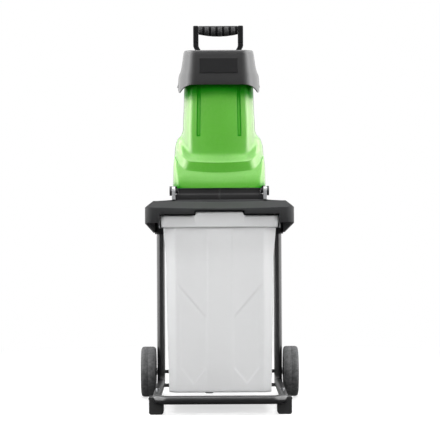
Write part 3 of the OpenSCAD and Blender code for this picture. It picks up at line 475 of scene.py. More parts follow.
def make_materials():
    # Lighter edge colours below are wear and also a painted highlight on the edges
    dress(
        "frame_black", "left_leg right_leg front_bumper cross_bar axle", (0.02, 0.02, 0.021), 0.34,
        cloud=30, grain=420, relief=0.06, rubbed=(0.04, 0.04, 0.04), coat=0.2)
    dress(
        "bright_steel",
        "axle_washers frame_bolts shell_screws motor_studs motor_bearings rotor_shaft rotor_screws blades",
        (0.60, 0.61, 0.63), 0.26, metal=1.0, cloud=60, grain=2600, relief=0.1, edge=0.0005)
    dress(
        "sheet_steel", "left_box_rail right_box_rail lock_bracket", (0.42, 0.43, 0.45), 0.36,
        metal=1.0, cloud=24, grain=500, stretch=(1, 0.06, 1))
    dress(
        "hinge_grey", "hinge_ears", (0.44, 0.445, 0.455), 0.36,
        metal=0.5, cloud=40, grain=1200, relief=0.25, rubbed=(0.6, 0.6, 0.62))
    dress(
        "foot_black", "left_foot right_foot", (0.008, 0.008, 0.0085), 0.6,
        cloud=40, relief=0.3, rubbed=(0.06, 0.06, 0.06))
    dress(
        "tray_grey", "tray", (0.019, 0.0195, 0.0205), 0.56,
        cloud=12, grain=1300, relief=0.2, depth=0.0003, rubbed=(0.06, 0.06, 0.062), edge=0.0016,
        specular=0.22)
    dress(
        "ring_grey", "blade_housing hinge_arms", (0.009, 0.009, 0.0095), 0.46,
        cloud=12, grain=1300, relief=0.2, rubbed=(0.028, 0.028, 0.029), specular=0.2)
    dress(
        "tyre_grey", "left_tyre right_tyre", (0.074, 0.075, 0.077), 0.68,
        tint=0.38, cloud=120, grain=900, relief=0.4, depth=0.0005, rubbed=(0.12, 0.12, 0.12))
    dress(
        "wheel_black", "left_hub right_hub left_hub_cap right_hub_cap hinge_pins",
        (0.022, 0.022, 0.024), 0.48, cloud=30, grain=1300, relief=0.25, rubbed=(0.09, 0.09, 0.09))
    dress(
        "box_clear", "collection_box", (0.94, 0.945, 0.95), 0.36,
        tint=0.02, cloud=7, grain=1100, relief=0.1, edge=0.002, ior=1.47, transmission=0.06)
    dress("pad_dark", "box_pads", (0.03, 0.03, 0.032), 0.7, cloud=50, relief=0.3)
    # Housing green: painted shade darkens it to deep green and takes its gloss in hollows and under the
    # collar; its edges are lighter, as wear and as a painted highlight
    dress(
        "housing_green", "front_shell rear_shell", (0.1, 0.47, 0.028), 0.28,
        tint=0.03, cloud=9, grain=1700, relief=0.06, rubbed=(0.115, 0.49, 0.036), edge=0.0004,
        coat=0.25, coat_rough=0.16, specular=0.9, gloss_tint=(1, 0.75, 0.82), ior=1.65,
        recess=((0.001, 0.25, 0.001), 0.05, 0.775, 0.828))
    dress(
        "collar_grey", "hopper_collar", (0.008, 0.008, 0.0085), 0.35,
        tint=0.05, cloud=10, relief=0.2, rubbed=(0.14, 0.14, 0.145), edge=0.0014,
        coat=0.22, coat_rough=0.3, specular=0.58, ior=1.6)
    dress(
        "label_dark", "label_plate", (0.006, 0.006, 0.0065), 0.4,
        tint=0.05, cloud=20, grain=1800, relief=0.12, specular=0.25)
    dress(
        "handle_black", "carry_handle hopper_chute lock_knob", (0.006, 0.006, 0.0065), 0.46,
        cloud=26, grain=1600, relief=0.2, rubbed=(0.03, 0.03, 0.03), specular=0.1)
    dress(
        "grip_black", "handle_grip", (0.022, 0.022, 0.023), 0.5,
        cloud=30, grain=1400, relief=0.25, rubbed=(0.07, 0.07, 0.07), specular=0.3)
    dress(
        "cast_aluminium", "cutting_plate motor_end_frame", (0.55, 0.56, 0.58), 0.44,
        metal=1.0, cloud=40, grain=1100, relief=0.35, edge=0.0006)
    dress(
        "core_steel", "motor_stator blade_disc", (0.34, 0.35, 0.37), 0.42,
        metal=1.0, cloud=50, ridges=("Z", 900, 0.6))
    dress(
        "copper", "field_coils armature commutator", (0.62, 0.27, 0.13), 0.32,
        metal=1.0, cloud=60, ridges=("Z", 700, 0.7))
    dress(
        "bakelite", "brush_holders", (0.13, 0.06, 0.028), 0.36,
        tint=0.25, cloud=120, grain=1800, relief=0.1)
    dress(
        "panel_black",
        "control_panel switch_block power_inlet lid_switch box_switch reset_button cooling_fan",
        (0.017, 0.017, 0.019), 0.44, cloud=30, relief=0.2, rubbed=(0.07, 0.07, 0.07))
    dress("pin_brass", "inlet_pins", (0.72, 0.56, 0.26), 0.26, metal=1.0, cloud=80, grain=2600, relief=0.1)
    dress("start_green", "start_button", (0.05, 0.33, 0.065), 0.34, tint=0.05, cloud=60, grain=1700)
    dress("stop_red", "stop_button", (0.53, 0.028, 0.024), 0.34, tint=0.05, cloud=60, grain=1700)
    dress(
        "plunger_white", "lid_plunger box_plunger", (0.68, 0.68, 0.64), 0.4,
        tint=0.04, cloud=80, grain=1700)


# Number helpers


def share(value, low, high):
    """How far a value is from low to high, from 0 to 1."""
    return np.clip((value - low) / (high - low), 0, 1)


def ramp(value, low, high):
    """A share with a soft start and end."""
    t = share(value, low, high)
    return t * t * (3 - 2 * t)


def curve(table, knots=None):
    """A smooth curve through the rows of a table, or through single numbers, that never overshoots them."""
    y = np.asarray(table, float)
    x = np.arange(len(y), dtype=float) if knots is None else np.asarray(knots, float)
    single = y.ndim == 1
    y = y[:, None] if single else y
    step = np.diff(x)[:, None]
    rise = np.diff(y, axis=0) / step
    slope = np.zeros_like(y)
    slope[0], slope[-1] = rise[0], rise[-1]
    same = rise[:-1] * rise[1:] > 0
    total = np.where(same, rise[:-1] + rise[1:], 1)
    slope[1:-1] = np.where(same, 2 * rise[:-1] * rise[1:] / total, 0)

    def at(t):
        t = np.clip(np.asarray(t, float), x[0], x[-1])
        i = np.clip(np.searchsorted(x, t, side="right") - 1, 0, len(x) - 2)
        h = step[i, 0][..., None]
        s = ((t - x[i])[..., None]) / h
        value = (
            (2 * s**3 - 3 * s**2 + 1) * y[i] + (s**3 - 2 * s**2 + s) * h * slope[i]
            + (3 * s**2 - 2 * s**3) * y[i + 1] + (s**3 - s**2) * h * slope[i + 1])
        return value[..., 0] if single else value

    return at


def steps(counts):
    """Positions along a table, with that many steps between each row and the next."""
    found = [i + k / n for i, n in enumerate(counts) for k in range(n)]
    return np.array(found + [len(counts)])


def circle(step):
    """Cosines and sines round a full turn, every so many degrees."""
    a = np.radians(np.arange(0, 360, step))
    return np.cos(a), np.sin(a)


# Mesh helpers: a skin is an array of points and a list of faces

MIRROR_X = np.array([-1, 1])


def grid_faces(rows, cols, wrap):
    last = cols if wrap else cols - 1
    return [
        (j * cols + i, j * cols + (i + 1) % cols, (j + 1) * cols + (i + 1) % cols, (j + 1) * cols + i)
        for j in range(rows - 1)
        for i in range(last)
    ]


def sheet_skin(rows):
    """An open skin over rows of points."""
    return np.concatenate(rows), grid_faces(len(rows), len(rows[0]), False)


def capped_skin(rings):
    """A closed skin over rings of points, with both ends capped."""
    cols = len(rings[0])
    last = (len(rings) - 1) * cols
    caps = [tuple(range(cols)), tuple(range(last, last + cols))]
    return np.concatenate(rings), grid_faces(len(rings), cols, True) + caps


def ring_skin(rings):
    """A closed skin whose last ring meets the first."""
    return np.concatenate([*rings, rings[0]]), grid_faces(len(rings) + 1, len(rings[0]), True)


def prism_skin(outline, axis, low, high):
    """A straight block along X or Y, from an outline in the other two axes."""
    n = len(outline)
    sides = [(i, n + i, n + (i + 1) % n, (i + 1) % n) for i in range(n)]
    points = np.concatenate([np.insert(outline, axis, level, axis=1) for level in (low, high)])
    return points, [tuple(range(n)), tuple(range(2 * n - 1, n - 1, -1)), *sides]


def join(skins):
    """Several skins as one."""
    faces = []
    start = 0
    for points, some in skins:
        faces += [tuple(start + i for i in face) for face in some]
        start += len(points)
    return np.concatenate([points for points, _ in skins]), faces


def tidy_mesh(mesh, sharp=40.0, outward=True):
    """Welds points, turns faces outward, and shades smooth up to an angle."""
    work = bmesh.new()
    work.from_mesh(mesh)
    bmesh.ops.remove_doubles(work, verts=work.verts, dist=1e-6)
    if outward:
        bmesh.ops.recalc_face_normals(work, faces=work.faces)
    work.to_mesh(mesh)
    work.free()
    mesh.shade_smooth()
    mesh.set_sharp_from_angle(angle=math.radians(sharp))


def piece(name, skin, finish, sharp=40.0, outward=True):
    points, faces = skin
    mesh = bpy.data.meshes.new(name)
    mesh.from_pydata((points * MM).tolist(), [], faces)
    tidy_mesh(mesh, sharp, outward)
    mesh.materials.append(FINISHES[finish])
    obj = bpy.data.objects.new(name, mesh)
    scene.collection.objects.link(obj)
    return obj


def settle(obj, sharp=40.0):
    """Turns the modifiers into plain mesh."""
    graph = bpy.context.evaluated_depsgraph_get()
    mesh = bpy.data.meshes.new_from_object(obj.evaluated_get(graph))
    obj.modifiers.clear()
    obj.data = mesh
    tidy_mesh(mesh, sharp, outward=False)


def place(obj, body, slot, *stands_for):
    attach(obj, body)
    if stands_for:
        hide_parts(*stands_for)


def rounded_path(hw, front, rear, r, corner_steps, front_steps, side_steps, rear_steps):
    """A rounded outline from the left side round the front, as points in X and one other axis."""
    def arc(cx, cy, start):
        a = np.radians(np.linspace(start, start + 90, corner_steps + 1))
        return np.stack([cx + r * np.cos(a), cy + r * np.sin(a)], 1)

    def between(p, q, n):
        return p + (q - p) * np.linspace(0, 1, n + 1)[1:-1, None]

    arcs = [
        arc(r - hw, front + r, 180), arc(hw - r, front + r, 270),
        arc(hw - r, rear - r, 0), arc(r - hw, rear - r, 90)]
    parts = []
    for k, count in enumerate((front_steps, side_steps, rear_steps, side_steps)):
        parts += [arcs[k], between(arcs[k][-1], arcs[(k + 1) % 4][0], count)]
    return np.concatenate(parts)


# Green housing, at rising levels: half width, height and set-back at the front, height at the sides, set-back
# at the rear, radius of the front corners, crown of the face, rise of the face towards its corners

LEVELS = curve([
    [118, 0, -0.4, 0, 0, 19, 5, 0],
    [117.6, 12, 0.6, 22, 0, 20, 5, 1],
    [116.8, 26, 4.2, 55, 0, 22, 5, 2.6],
    [114.4, 38.6, 9, 82, 0, 34, 5, 4],
    [114, 40.2, 9.2, 86, 0, 40, 5, 4],
    [112.4, 64.4, 9, 108, 0, 47, 5, 3.5],
    [111.4, 66.8, 10, 112, 0.4, 47, 5, 3.3],
    [107, 74, 12.8, 125, 2, 45, 5.6, 2],
    [96, 90, 17.2, 139, 11, 37, 7, 0],
    [92.2, 121, 18.2, 152, 22, 31, 7, 0],
    [91.6, 160, 18.6, 173, 40, 30, 7, 0],
    [90.8, 182, 19, 187, 62, 30, 7, 0],
    [90.2, 201, 19.4, 201, 78, 30, 7, 0],
    [88.4, SHELL_TALL, 20.4, SHELL_TALL, 78, 30, 7, 0]])
SHELL_WALL = 2.6
SEAM_GAP = 0.25
REAR_R = 24.0
SMILE_HW = 75.0
SMILE_REACH = 1.15

# Two grooves of the face, which spread on their way down and end in a step, at a level in rows of LEVELS
GROOVE_X = 50.0
GROOVE_HW = 5.0
GROOVE_WALL = 0.25
GROOVE_DEPTH = 2.9
GROOVE_SHALLOW = 0.15
GROOVE_SPREAD = 2.2
GROOVE_RUN = 130.0
GROOVE_FADE = 24.0
GROOVE_LEVEL = 9.291
GROOVE_STEP = 0.003
LEVEL_STEPS = np.sort([
    *steps([4, 5, 6, 4, 7, 5, 6, 6, 8, 10, 8, 6, 14]),
    GROOVE_LEVEL - GROOVE_STEP, GROOVE_LEVEL + GROOVE_STEP])

# Lower corners of the front, which clear the hinge ears and keep some of their slope
EAR_TOP = 6.0
EAR_SLOPE = 0.2
EAR_X = (105, 110)
EAR_Y = (-158, -166)


def face_span(hw, r, crown):
    """Half the width of a crowned face that runs smoothly into its corners, and how far its ends lean."""
    half = hw - r
    for _ in range(8):
        lean = math.atan(2 * crown / half)
        half = hw - r + r * math.sin(lean)
    return half, lean


def face_places(half, groove):
    """Places across the face, with some at the walls of both grooves."""
    wall = GROOVE_HW - GROOVE_WALL
    right = np.concatenate([
        np.linspace(0, groove - GROOVE_HW, 16)[1:],
        groove + np.array([-wall, -GROOVE_HW / 2, 0, GROOVE_HW / 2, wall, GROOVE_HW]),
        np.linspace(groove + GROOVE_HW, half, 9)[1:-1]])
    return np.concatenate([-right[::-1], [0], right])


def front_row(level):
    """A row of the front shell, from the left seam round its face. Sides and face have their own heights."""
    hw, face_z, back, side_z, _, r, crown, smile = LEVELS(level)
    half, lean = face_span(hw, r, crown)
    face_y = HEAD_FRONT + back
    corner_y = face_y + crown + r * math.cos(lean)
    from_top = SHELL_TALL - face_z
    groove = GROOVE_X + GROOVE_SPREAD * share(from_top, 0, GROOVE_RUN)
    run = np.linspace(0, 1, 11)[:-1]
    turn = np.linspace(0, 1, 19)
    angle = math.pi + (math.pi / 2 - lean) * turn
    across = face_places(half, groove)
    left = np.stack([np.full_like(run, -hw), SEAM_Y - SEAM_GAP + (corner_y - SEAM_Y) * run], 1)
    corner = np.stack([r - hw + r * np.cos(angle), corner_y + r * np.sin(angle)], 1)
    face = np.stack([across, face_y + crown * (across / half) ** 2], 1)
    path = np.concatenate([left, corner, face, corner[::-1] * MIRROR_X, left[::-1] * MIRROR_X])
    turned = ramp(turn, 0, 1)
    at_side = np.zeros_like(run)
    ahead = np.concatenate([at_side, turned, np.ones_like(across), turned[::-1], at_side])
    x, y = path.T
    if level > GROOVE_LEVEL:
        deep = GROOVE_DEPTH * max(GROOVE_SHALLOW, share(from_top, 0, GROOVE_FADE))
        in_groove = np.abs(np.abs(x) - groove) < GROOVE_HW - GROOVE_WALL / 2
        y = y + deep * in_groove * (ahead == 1)
    rise = smile * np.minimum(np.abs(x) / SMILE_HW, SMILE_REACH) ** 2
    z = side_z + (face_z - side_z + rise) * ahead
    by_ear = ramp(np.abs(x), *EAR_X) * ramp(y, *EAR_Y)
    return np.column_stack([x, y, HEAD_Z + np.maximum(z, (EAR_TOP + EAR_SLOPE * z) * by_ear)])


def rear_row(level):
    """A row of the rear shell, from the right seam round its back."""
    hw, _, _, side_z, ahead, _, _, _ = LEVELS(level)
    rear = HEAD_REAR - ahead
    run = np.linspace(0, 1, 15)[:-1]
    turn = np.radians(np.linspace(0, 90, 13))
    across = np.linspace(hw - REAR_R, REAR_R - hw, 25)[1:-1]
    right = np.stack([np.full_like(run, hw), SEAM_Y + SEAM_GAP + (rear - REAR_R - SEAM_Y) * run], 1)
    corner = np.stack([hw - REAR_R + REAR_R * np.cos(turn), rear - REAR_R + REAR_R * np.sin(turn)], 1)
    back = np.stack([across, np.full_like(across, rear)], 1)
    path = np.concatenate([right, corner, back, corner[::-1] * MIRROR_X, right[::-1] * MIRROR_X])
    return np.column_stack([path, np.full(len(path), HEAD_Z + side_z)])


def make_shell(name, row):
    skin = sheet_skin([row(level) for level in LEVEL_STEPS])
    obj = piece(name, skin, "housing_green", outward=False)
    thick = obj.modifiers.new("wall", "SOLIDIFY")
    thick.thickness = SHELL_WALL * MM
    thick.offset = -1
    thick.use_even_offset = True
    settle(obj)
    return obj


# Openings of the rear shell: vents on both sides, the control panel and the power inlet

VENT_COUNT = 6
VENT_PITCH = 13.0
VENT_TALL = 5.0
VENT_RISE = 26.0
VENT_Y = (2, 78)
VENT_CUT = (60, 140)
PANEL_HW = 35.0
PANEL_HH = 25.0
INLET_R = 23.2
REAR_CUT = (HEAD_REAR - 20, HEAD_REAR + 1)


def slot_outline(front, rear, low, high):
    """A slot with round ends in Y, as points in Y and Z."""
    r = (high - low) / 2
    a = np.radians(np.linspace(-90, 90, 7))
    y, z = r * np.cos(a), r * np.sin(a)
    at_rear = np.stack([rear - r + y, (low + high) / 2 + z], 1)
    at_front = np.stack([front + r - y, (low + high) / 2 - z], 1)
    return np.concatenate([at_rear, at_front])


def opening_skins():
    skins = []
    for k in range(VENT_COUNT):
        low = HEAD_Z + VENT_RISE + VENT_PITCH * k
        vent = slot_outline(MOTOR_Y + VENT_Y[0], MOTOR_Y + VENT_Y[1], low, low + VENT_TALL)
        near, far = VENT_CUT
        skins += [prism_skin(vent, X, -far, -near), prism_skin(vent, X, near, far)]
    corners = np.array([(-1, -1), (1, -1), (1, 1), (-1, 1)])
    panel = corners * (PANEL_HW, PANEL_HH) + (PANEL_X, PANEL_Z)
    inlet = np.stack(circle(10), 1) * INLET_R + (INLET_X, PANEL_Z)
    return skins + [prism_skin(outline, Y, *REAR_CUT) for outline in (panel, inlet)]


def cut_openings(obj):
    cutter = piece("cutter", join(opening_skins()), "housing_green")
    cut = obj.modifiers.new("openings", "BOOLEAN")
    cut.operation = "DIFFERENCE"
    cut.solver = "EXACT"
    cut.object = cutter
    settle(obj)
    bpy.data.objects.remove(cutter)


def make_housing():
    front = make_shell("housing_front", front_row)
    place(front, "head", "housing_green", "front_shell")
    rear = make_shell("housing_rear", rear_row)
    cut_openings(rear)
    place(rear, "head", "housing_green", "rear_shell")


# Collar: height over the housing, stand-off at the sides, front and rear, share of the edge's dip

COLLAR_OUT = [
    [-6, 16.8, 14, 8, 1],
    [0, 16.8, 13.6, 7.8, 0.8],
    [7, 16.6, 13, 7.5, 0.6],
    [20, 15, 11.5, 7, 0.2],
    [28, 10.8, 10.5, 6.5, 0],
    [50, 6, 7.5, 5, 0],
    [67, 3.8, 5, 3, 0],
    [76, 2.4, 3.4, 1.6, 0],
    [80.5, 0.9, 2, 0.2, 0],
    [82.6, -1.2, 0.2, -1.6, 0],
    [83, -3.2, -1.6, -3.2, 0]]
COLLAR_MOUTH = [
    [82.4, -4.8, -3.2, -4.8, 0],
    [80, -5.4, -3.8, -5.2, 0],
    [42, -7, -6, -6.5, 0],
    [3, -8, -8, -8, 0]]
COLLAR_INNER = [
    [3, -5, -5, -5, 0],
    [68, -1, -0.5, -2, 0],
    [50, 3, 4.5, 2, 0],
    [28, 7.6, 7.5, 3.5, 0],
    [20, 12, 8.5, 4, 0.2],
    [7, 13.6, 10, 4.5, 0.6],
    [-4.6, 13.8, 10.9, 4.9, 0.97],
    [-6, 14.8, 11.8, 5.8, 1]]
NECK_R = 30.0
CORNER_DEPTH = 0.7
CORNER_BLEND = 80.0
# The lower edge's height and its flare to the sides, by the distance behind the neck's front
EDGE_DIP = curve(
    [0, 0, -3.6, -8.6, -14.5, -19.2, -19.6, -15, -6, -1, 2, 5, 10.5, 10.5],
    [-40, -13.6, -6, 0.8, 8, 14.4, 18, 26, 40, 60, 100, 150, 220, 280])
EDGE_FLARE = curve([0, 0, 6.5, 3, 3], [-40, 60, 180, 230, 280])


def collar_ring(row):
    """A ring round the neck, whose front corners are drawn forward to a part of their depth."""
    height, side, front, rear, dip = row
    front_y = NECK_FRONT - front
    r = NECK_R + side
    path = rounded_path(
        NECK_HW + side, front_y, NECK_REAR + rear, r,
        corner_steps=16, front_steps=30, side_steps=34, rear_steps=20)
    x, y = path.T
    behind = y - front_y
    forward = (1 - CORNER_DEPTH) * np.minimum(behind, r) * ramp(behind, r + CORNER_BLEND, r)
    flare = np.sign(x) * dip * EDGE_FLARE(y - NECK_FRONT)
    return np.column_stack([x + flare, y - forward, SHELL_TOP + height + dip * EDGE_DIP(y - NECK_FRONT)])


def make_collar():
    outer = curve(COLLAR_OUT)(steps([3, 3, 5, 5, 5, 5, 3, 3, 3, 2]))
    mouth = curve(COLLAR_MOUTH)(steps([2, 3, 3]))
    rings = [collar_ring(row) for row in [*outer, *mouth, *COLLAR_INNER]]
    obj = piece("collar", ring_skin(rings), "collar_grey", sharp=50)
    place(obj, "head", "collar_grey", "hopper_collar")


# Handle: two swept arms on a foot, and a ribbed grip that bellies between them

ARM_W = 14.4
ARM_R = 2.4
ARM_WAIST = 12.5
# How far the arms are let in at their top and at a line round them, by the drop from the top
ARM_LET_IN = [
    (0, 2.4), (0.5, 1.2), (1.4, 0.4), (3, 0), (8, 0), (20, 0), (32, 0), (45, 0),
    (46.6, 0), (47, 0.5), (48.4, 0.5), (48.8, 0), (50.4, 0)]
BEND_START, BEND_END = 55.0, 80.0
ARM_BEND = curve(
    [0, 0, 0, ARM_WAIST / 2, ARM_WAIST, ARM_WAIST],
    [0, BEND_START - 6, BEND_START - 2, (BEND_START + BEND_END) / 2, BEND_END + 4, 260])
# Foot, from just behind the neck into the arms, with its rear edges rounded
FOOT_TALL = 34.0
FOOT_R = 5.0
FOOT_FRONT = NECK_REAR + 0.2
FOOT_REAR = HANDLE_FRONT + 1
FOOT_ROWS = [(FOOT_FRONT, 0), (FOOT_REAR - 2, 0), (FOOT_REAR - 0.6, 0.6), (FOOT_REAR, 2)]


def arm_ring(sign, drop, let_in):
    path = rounded_path(
        ARM_W / 2 - let_in, let_in - HANDLE_T / 2, HANDLE_T / 2 - let_in, ARM_R,
        corner_steps=5, front_steps=3, side_steps=3, rear_steps=3)
    x = sign * (HANDLE_HW - ARM_W / 2 - ARM_BEND(drop))
    return np.column_stack([x + path[:, 0], HANDLE_MID + path[:, 1], np.full(len(path), HANDLE_TOP - drop)])


def foot_ring(y, let_in):
    path = rounded_path(
        HANDLE_HW - ARM_WAIST - let_in, HANDLE_BASE + let_in, HANDLE_BASE + FOOT_TALL - let_in, FOOT_R,
        corner_steps=6, front_steps=8, side_steps=4, rear_steps=8)
    return np.column_stack([path[:, 0], np.full(len(path), y), path[:, 1]])


def make_handle():
    below = [*np.linspace(52, BEND_END, 15), *np.linspace(BEND_END + 6, HANDLE_TOP - HANDLE_BASE, 8)]
    rows = ARM_LET_IN + [(drop, 0) for drop in below]
    for side, sign in (("l", -1), ("r", 1)):
        rings = [arm_ring(sign, drop, let_in) for drop, let_in in rows]
        arm = piece(f"handle_arm_{side}", capped_skin(rings), "handle_black", sharp=55)
        place(arm, "head", "handle_black")
    rings = [foot_ring(y, let_in) for y, let_in in FOOT_ROWS]
    foot = piece("handle_foot", capped_skin(rings), "handle_black", sharp=50)
    place(foot, "head", "handle_black", "carry_handle")


GRIP_HW = HANDLE_HW - ARM_W - 0.2
GRIP_TOP = HANDLE_TOP - 0.05
GRIP_TALL = 29.0
GRIP_BOW = 6.0
GRIP_FLAT = 0.93
RIB_FIRST_GAP = -39.6
RIB_PITCH = 17.7
RIB_COUNT = 6
RIB_GAP_HW = 3.1
# Ends of a rib: distance from its end, and let-in, with the parts of it that count in Y and in Z
RIB_ENDS = [(0, 1.5), (0.3, 0.7), (1, 0.1)]
RIB_LET_Y, RIB_LET_Z = 2.2, 0.08
# The core's let-in, in Y and in Z
CORE_LET_IN = (8.0, 0.15)


def grip_ring(x, less_y, less_z):
    """A ring of the grip, whose top is straight and whose underside bows, let in by the given depths."""
    tall = (GRIP_TALL - GRIP_BOW * (x / GRIP_HW) ** 2) / 2
    cos, sin = circle(7.5)
    y = HANDLE_MID + (GRIP_FLAT * tall - less_y) * cos
    return np.column_stack([np.full(len(y), x), y, GRIP_TOP - tall + (tall - less_z) * sin])


def rib_skin(low, high):
    middle_rows = [(x, 0) for x in np.linspace(low + 1.6, high - 1.6, 5)]
    left_rows = [(low + inward, let_in) for inward, let_in in RIB_ENDS]
    right_rows = [(high - inward, let_in) for inward, let_in in RIB_ENDS[::-1]]
    rows = left_rows + middle_rows + right_rows
    return capped_skin([grip_ring(x, RIB_LET_Y * let_in, RIB_LET_Z * let_in) for x, let_in in rows])


def make_grip():
    rings = [grip_ring(x, *CORE_LET_IN) for x in np.linspace(-GRIP_HW, GRIP_HW, 30)]
    core = piece("grip_core", capped_skin(rings), "handle_black", sharp=60)
    place(core, "head", "handle_black")
    gaps = RIB_FIRST_GAP + RIB_PITCH * np.arange(RIB_COUNT)
    lows = [-GRIP_HW, *(gaps[:-1] + RIB_GAP_HW)]
    ribs = [rib_skin(low, high) for low, high in zip(lows, gaps - RIB_GAP_HW)]
    grip = piece("grip", join(ribs), "grip_black", sharp=60)
    place(grip, "head", "handle_black", "handle_grip")


# Collection box: rolled rim with a pull block, drafted walls with shallow pressed panels

BOX_WALL = 3.0
BOX_DRAFT = 8.5
BOX_CORNER = 30.0
RIM_CORNER = 6.0
WALL_LOW, WALL_TOP = 63.0, RIM_TOP - 4
FLARE = 4.5
FLARE_LOW, FLARE_TOP = 390.0, 470.0
PULL_HW = 60.0
PULL_SIDE = (PULL_HW + 0.6, PULL_HW - 1.8)
CORNER_STEPS, FRONT_STEPS, SIDE_STEPS, REAR_STEPS = 12, 130, 48, 36
NEAR = 0.01

# Front corners of the box, in radii from the side and from the front: tight turn, flat column, slight turn
COLUMN_IN = np.array([0, 0.012, 0.05, 0.11, 0.18, 0.26, 0.36, 0.5, 0.64, 0.78, 0.87, 0.94, 1])
COLUMN_BACK = np.array([0.86, 0.76, 0.665, 0.59, 0.53, 0.468, 0.392, 0.286, 0.18, 0.076, 0.028, 0.006, 0])

# Front wall: a raised middle, and on each side of it a five-sided panel with a slanted top and a pointed foot
PANEL_DEPTH = 0.9
PANEL_EDGE = 4.0
PANEL_IN, PANEL_OUT = 33.0, 101.0
PANEL_WIDER, PANEL_WIDER_Z = 7.0, (280, 325)
SLANT_X, SLANT_Z, SLANT_SLOPE, SLANT_NEAR = 36.0, 248.0, 1.18, 0.65
POINT_X, POINT_Z, POINT_SLOPE, POINT_NEAR = 67.0, 73.0, 1.3, 0.61
RAISED_LOW, RAISED_TOP = (62, 122), (468, 462)

# Broad panels of the sides and the rear: margins from the corners, heights, and the width of their edges
BROAD_DEPTH = 1.5 * PANEL_DEPTH
BROAD_EDGE = 16.0
BROAD_LOW, BROAD_TOP = 84.0, 392.0
SIDE_MARGIN, REAR_MARGIN = 52.0, 46.0

# Sections of the box: rise over its floor or its rim's top, stand-out, and the pull block's size out and up
FLOOR_ROWS = [(0, -26), (0, -12), (0.5, -9.9), (1.6, -9), (3.4, -8.6), (8, -8.5)]
RIM_ROWS = [
    (-4, 5.2, 0, 0), (-4, 7.2, 2, 8), (-10, 7.2, 1.8, 4), (-29, 6.4, 0.4, 0), (-30, 6.8, 0.4, 0),
    (-30, 7.8, 0.4, 0), (-29.4, 8.4, 0.5, 0), (-28, 8.7, 0.6, 0.2), (-16, 9.7, 1.4, 2), (-4, 10.5, 2.2, 8),
    (-1.6, 10.2, 2.3, 9), (-0.4, 9, 2.2, 9), (0, 7, 2, 9), (0, 3, 0.8, 9), (-0.4, 1.8, 0.2, 9),
    (-1.6, 1.4, 0, 8.6), (-4, 1.2, 0, 6)]
INNER_FLOOR_ROWS = [(5.5, -13.2), (3.6, -16), (3, -19.5), (3, -26)]
# Heights of the wall's rings, closer where slanted edges of the panels run
WALL_HEIGHTS = [
    *np.linspace(67, 125, 34), *np.linspace(130, 240, 15), *np.linspace(244, 330, 52),
    *np.linspace(334, 462, 18), 466, 470, 480, 490, 495]
INNER_HEIGHTS = [488, 470, 450, 430, 410, 390, 300, 180, 90, 66]


def box_path(out, corner):
    """An outline of the box: its points, and marks at those of the front, the sides and the rear."""
    hw = BOX_HW + out
    front = BOX_FRONT + RIM_OVER - out
    rear = BOX_REAR - RIM_OVER + out
    r = max(corner + out, RIM_CORNER)
    path = rounded_path(hw, front, rear, r, CORNER_STEPS, FRONT_STEPS, SIDE_STEPS, REAR_STEPS)
    if corner == BOX_CORNER:
        column = np.stack([COLUMN_IN * r - hw, front + COLUMN_BACK * r], 1)
        right = len(column) + FRONT_STEPS - 1
        path[:len(column)] = column
        path[right:right + len(column)] = column[::-1] * MIRROR_X
    x, y = path.T
    return path, [np.abs(distance) < NEAR for distance in (y - front, np.abs(x) - hw, y - rear)]


def front_relief(x, z):
    """How far the front wall stands out."""
    x = np.abs(x)
    slant = SLANT_NEAR * (SLANT_Z + SLANT_SLOPE * (x - SLANT_X) - z)
    foot = POINT_NEAR * (z - POINT_Z - POINT_SLOPE * np.abs(x - POINT_X))
    outer = PANEL_OUT + PANEL_WIDER * ramp(z, *PANEL_WIDER_Z)
    edge = np.minimum(np.minimum(x - PANEL_IN, outer - x), np.minimum(slant, foot))
    raised = ramp(x, PANEL_IN, PANEL_IN - PANEL_EDGE) * ramp(z, *RAISED_TOP) * ramp(z, *RAISED_LOW)
    return raised - PANEL_DEPTH * ramp(edge, 0, PANEL_EDGE)


def broad_relief(along, half, z):
    """How far a side or the rear wall is let in."""
    edge = np.minimum(half - np.abs(along), min(z - BROAD_LOW, (BROAD_TOP - z) / 2))
    return BROAD_DEPTH * ramp(edge, 0, BROAD_EDGE)


def wall_out(z):
    """How far the wall stands from its line at the top: a draft, with a flare up to the rim."""
    return BOX_DRAFT * (z - WALL_TOP) / (WALL_TOP - WALL_LOW) + FLARE * ramp(z, FLARE_LOW, FLARE_TOP)


def plain_ring(z, out):
    path, _ = box_path(out, BOX_CORNER)
    return np.column_stack([path, np.full(len(path), z)])


def pressed_ring(z):
    """A ring of the outer wall, with its panels."""
    path, (front, side, rear) = box_path(wall_out(z), BOX_CORNER)
    x, y = path.T
    half = (BOX_REAR - BOX_FRONT) / 2
    by_side = broad_relief(y - (BOX_REAR + BOX_FRONT) / 2, half - SIDE_MARGIN, z)
    by_rear = broad_relief(x, BOX_HW - REAR_MARGIN, z)
    in_x = np.where(side, by_side * np.sign(x), 0)
    in_y = np.where(rear, by_rear, 0) + np.where(front, front_relief(x, z), 0)
    return np.column_stack([x - in_x, y - in_y, np.full(len(path), z)])


def rim_ring(rise, out, pull_out, pull_up):
    """A ring of the rim, with the pull block standing out and up."""
    path, (front, _, _) = box_path(out, RIM_CORNER)
    x, y = path.T
    pull = np.where(front, ramp(np.abs(x), *PULL_SIDE), 0)
    return np.column_stack([x, y - pull * pull_out, RIM_TOP + rise + pull * pull_up])


def make_box():
    rings = [plain_ring(BOX_FLOOR + rise, out) for rise, out in FLOOR_ROWS]
    rings += [pressed_ring(z) for z in WALL_HEIGHTS]
    rings += [rim_ring(*row) for row in RIM_ROWS]
    rings += [plain_ring(z, wall_out(z) - BOX_WALL) for z in INNER_HEIGHTS]
    rings += [plain_ring(BOX_FLOOR + rise, out) for rise, out in INNER_FLOOR_ROWS]
    obj = piece("chip_box", capped_skin(rings), "box_clear", sharp=50)
    place(obj, "box", "box_clear", "collection_box")


# Tyres: a turned section with rounded shoulders, a moulding line and shallow side rings

TYRE_MIDDLE = TYRE_W / 2
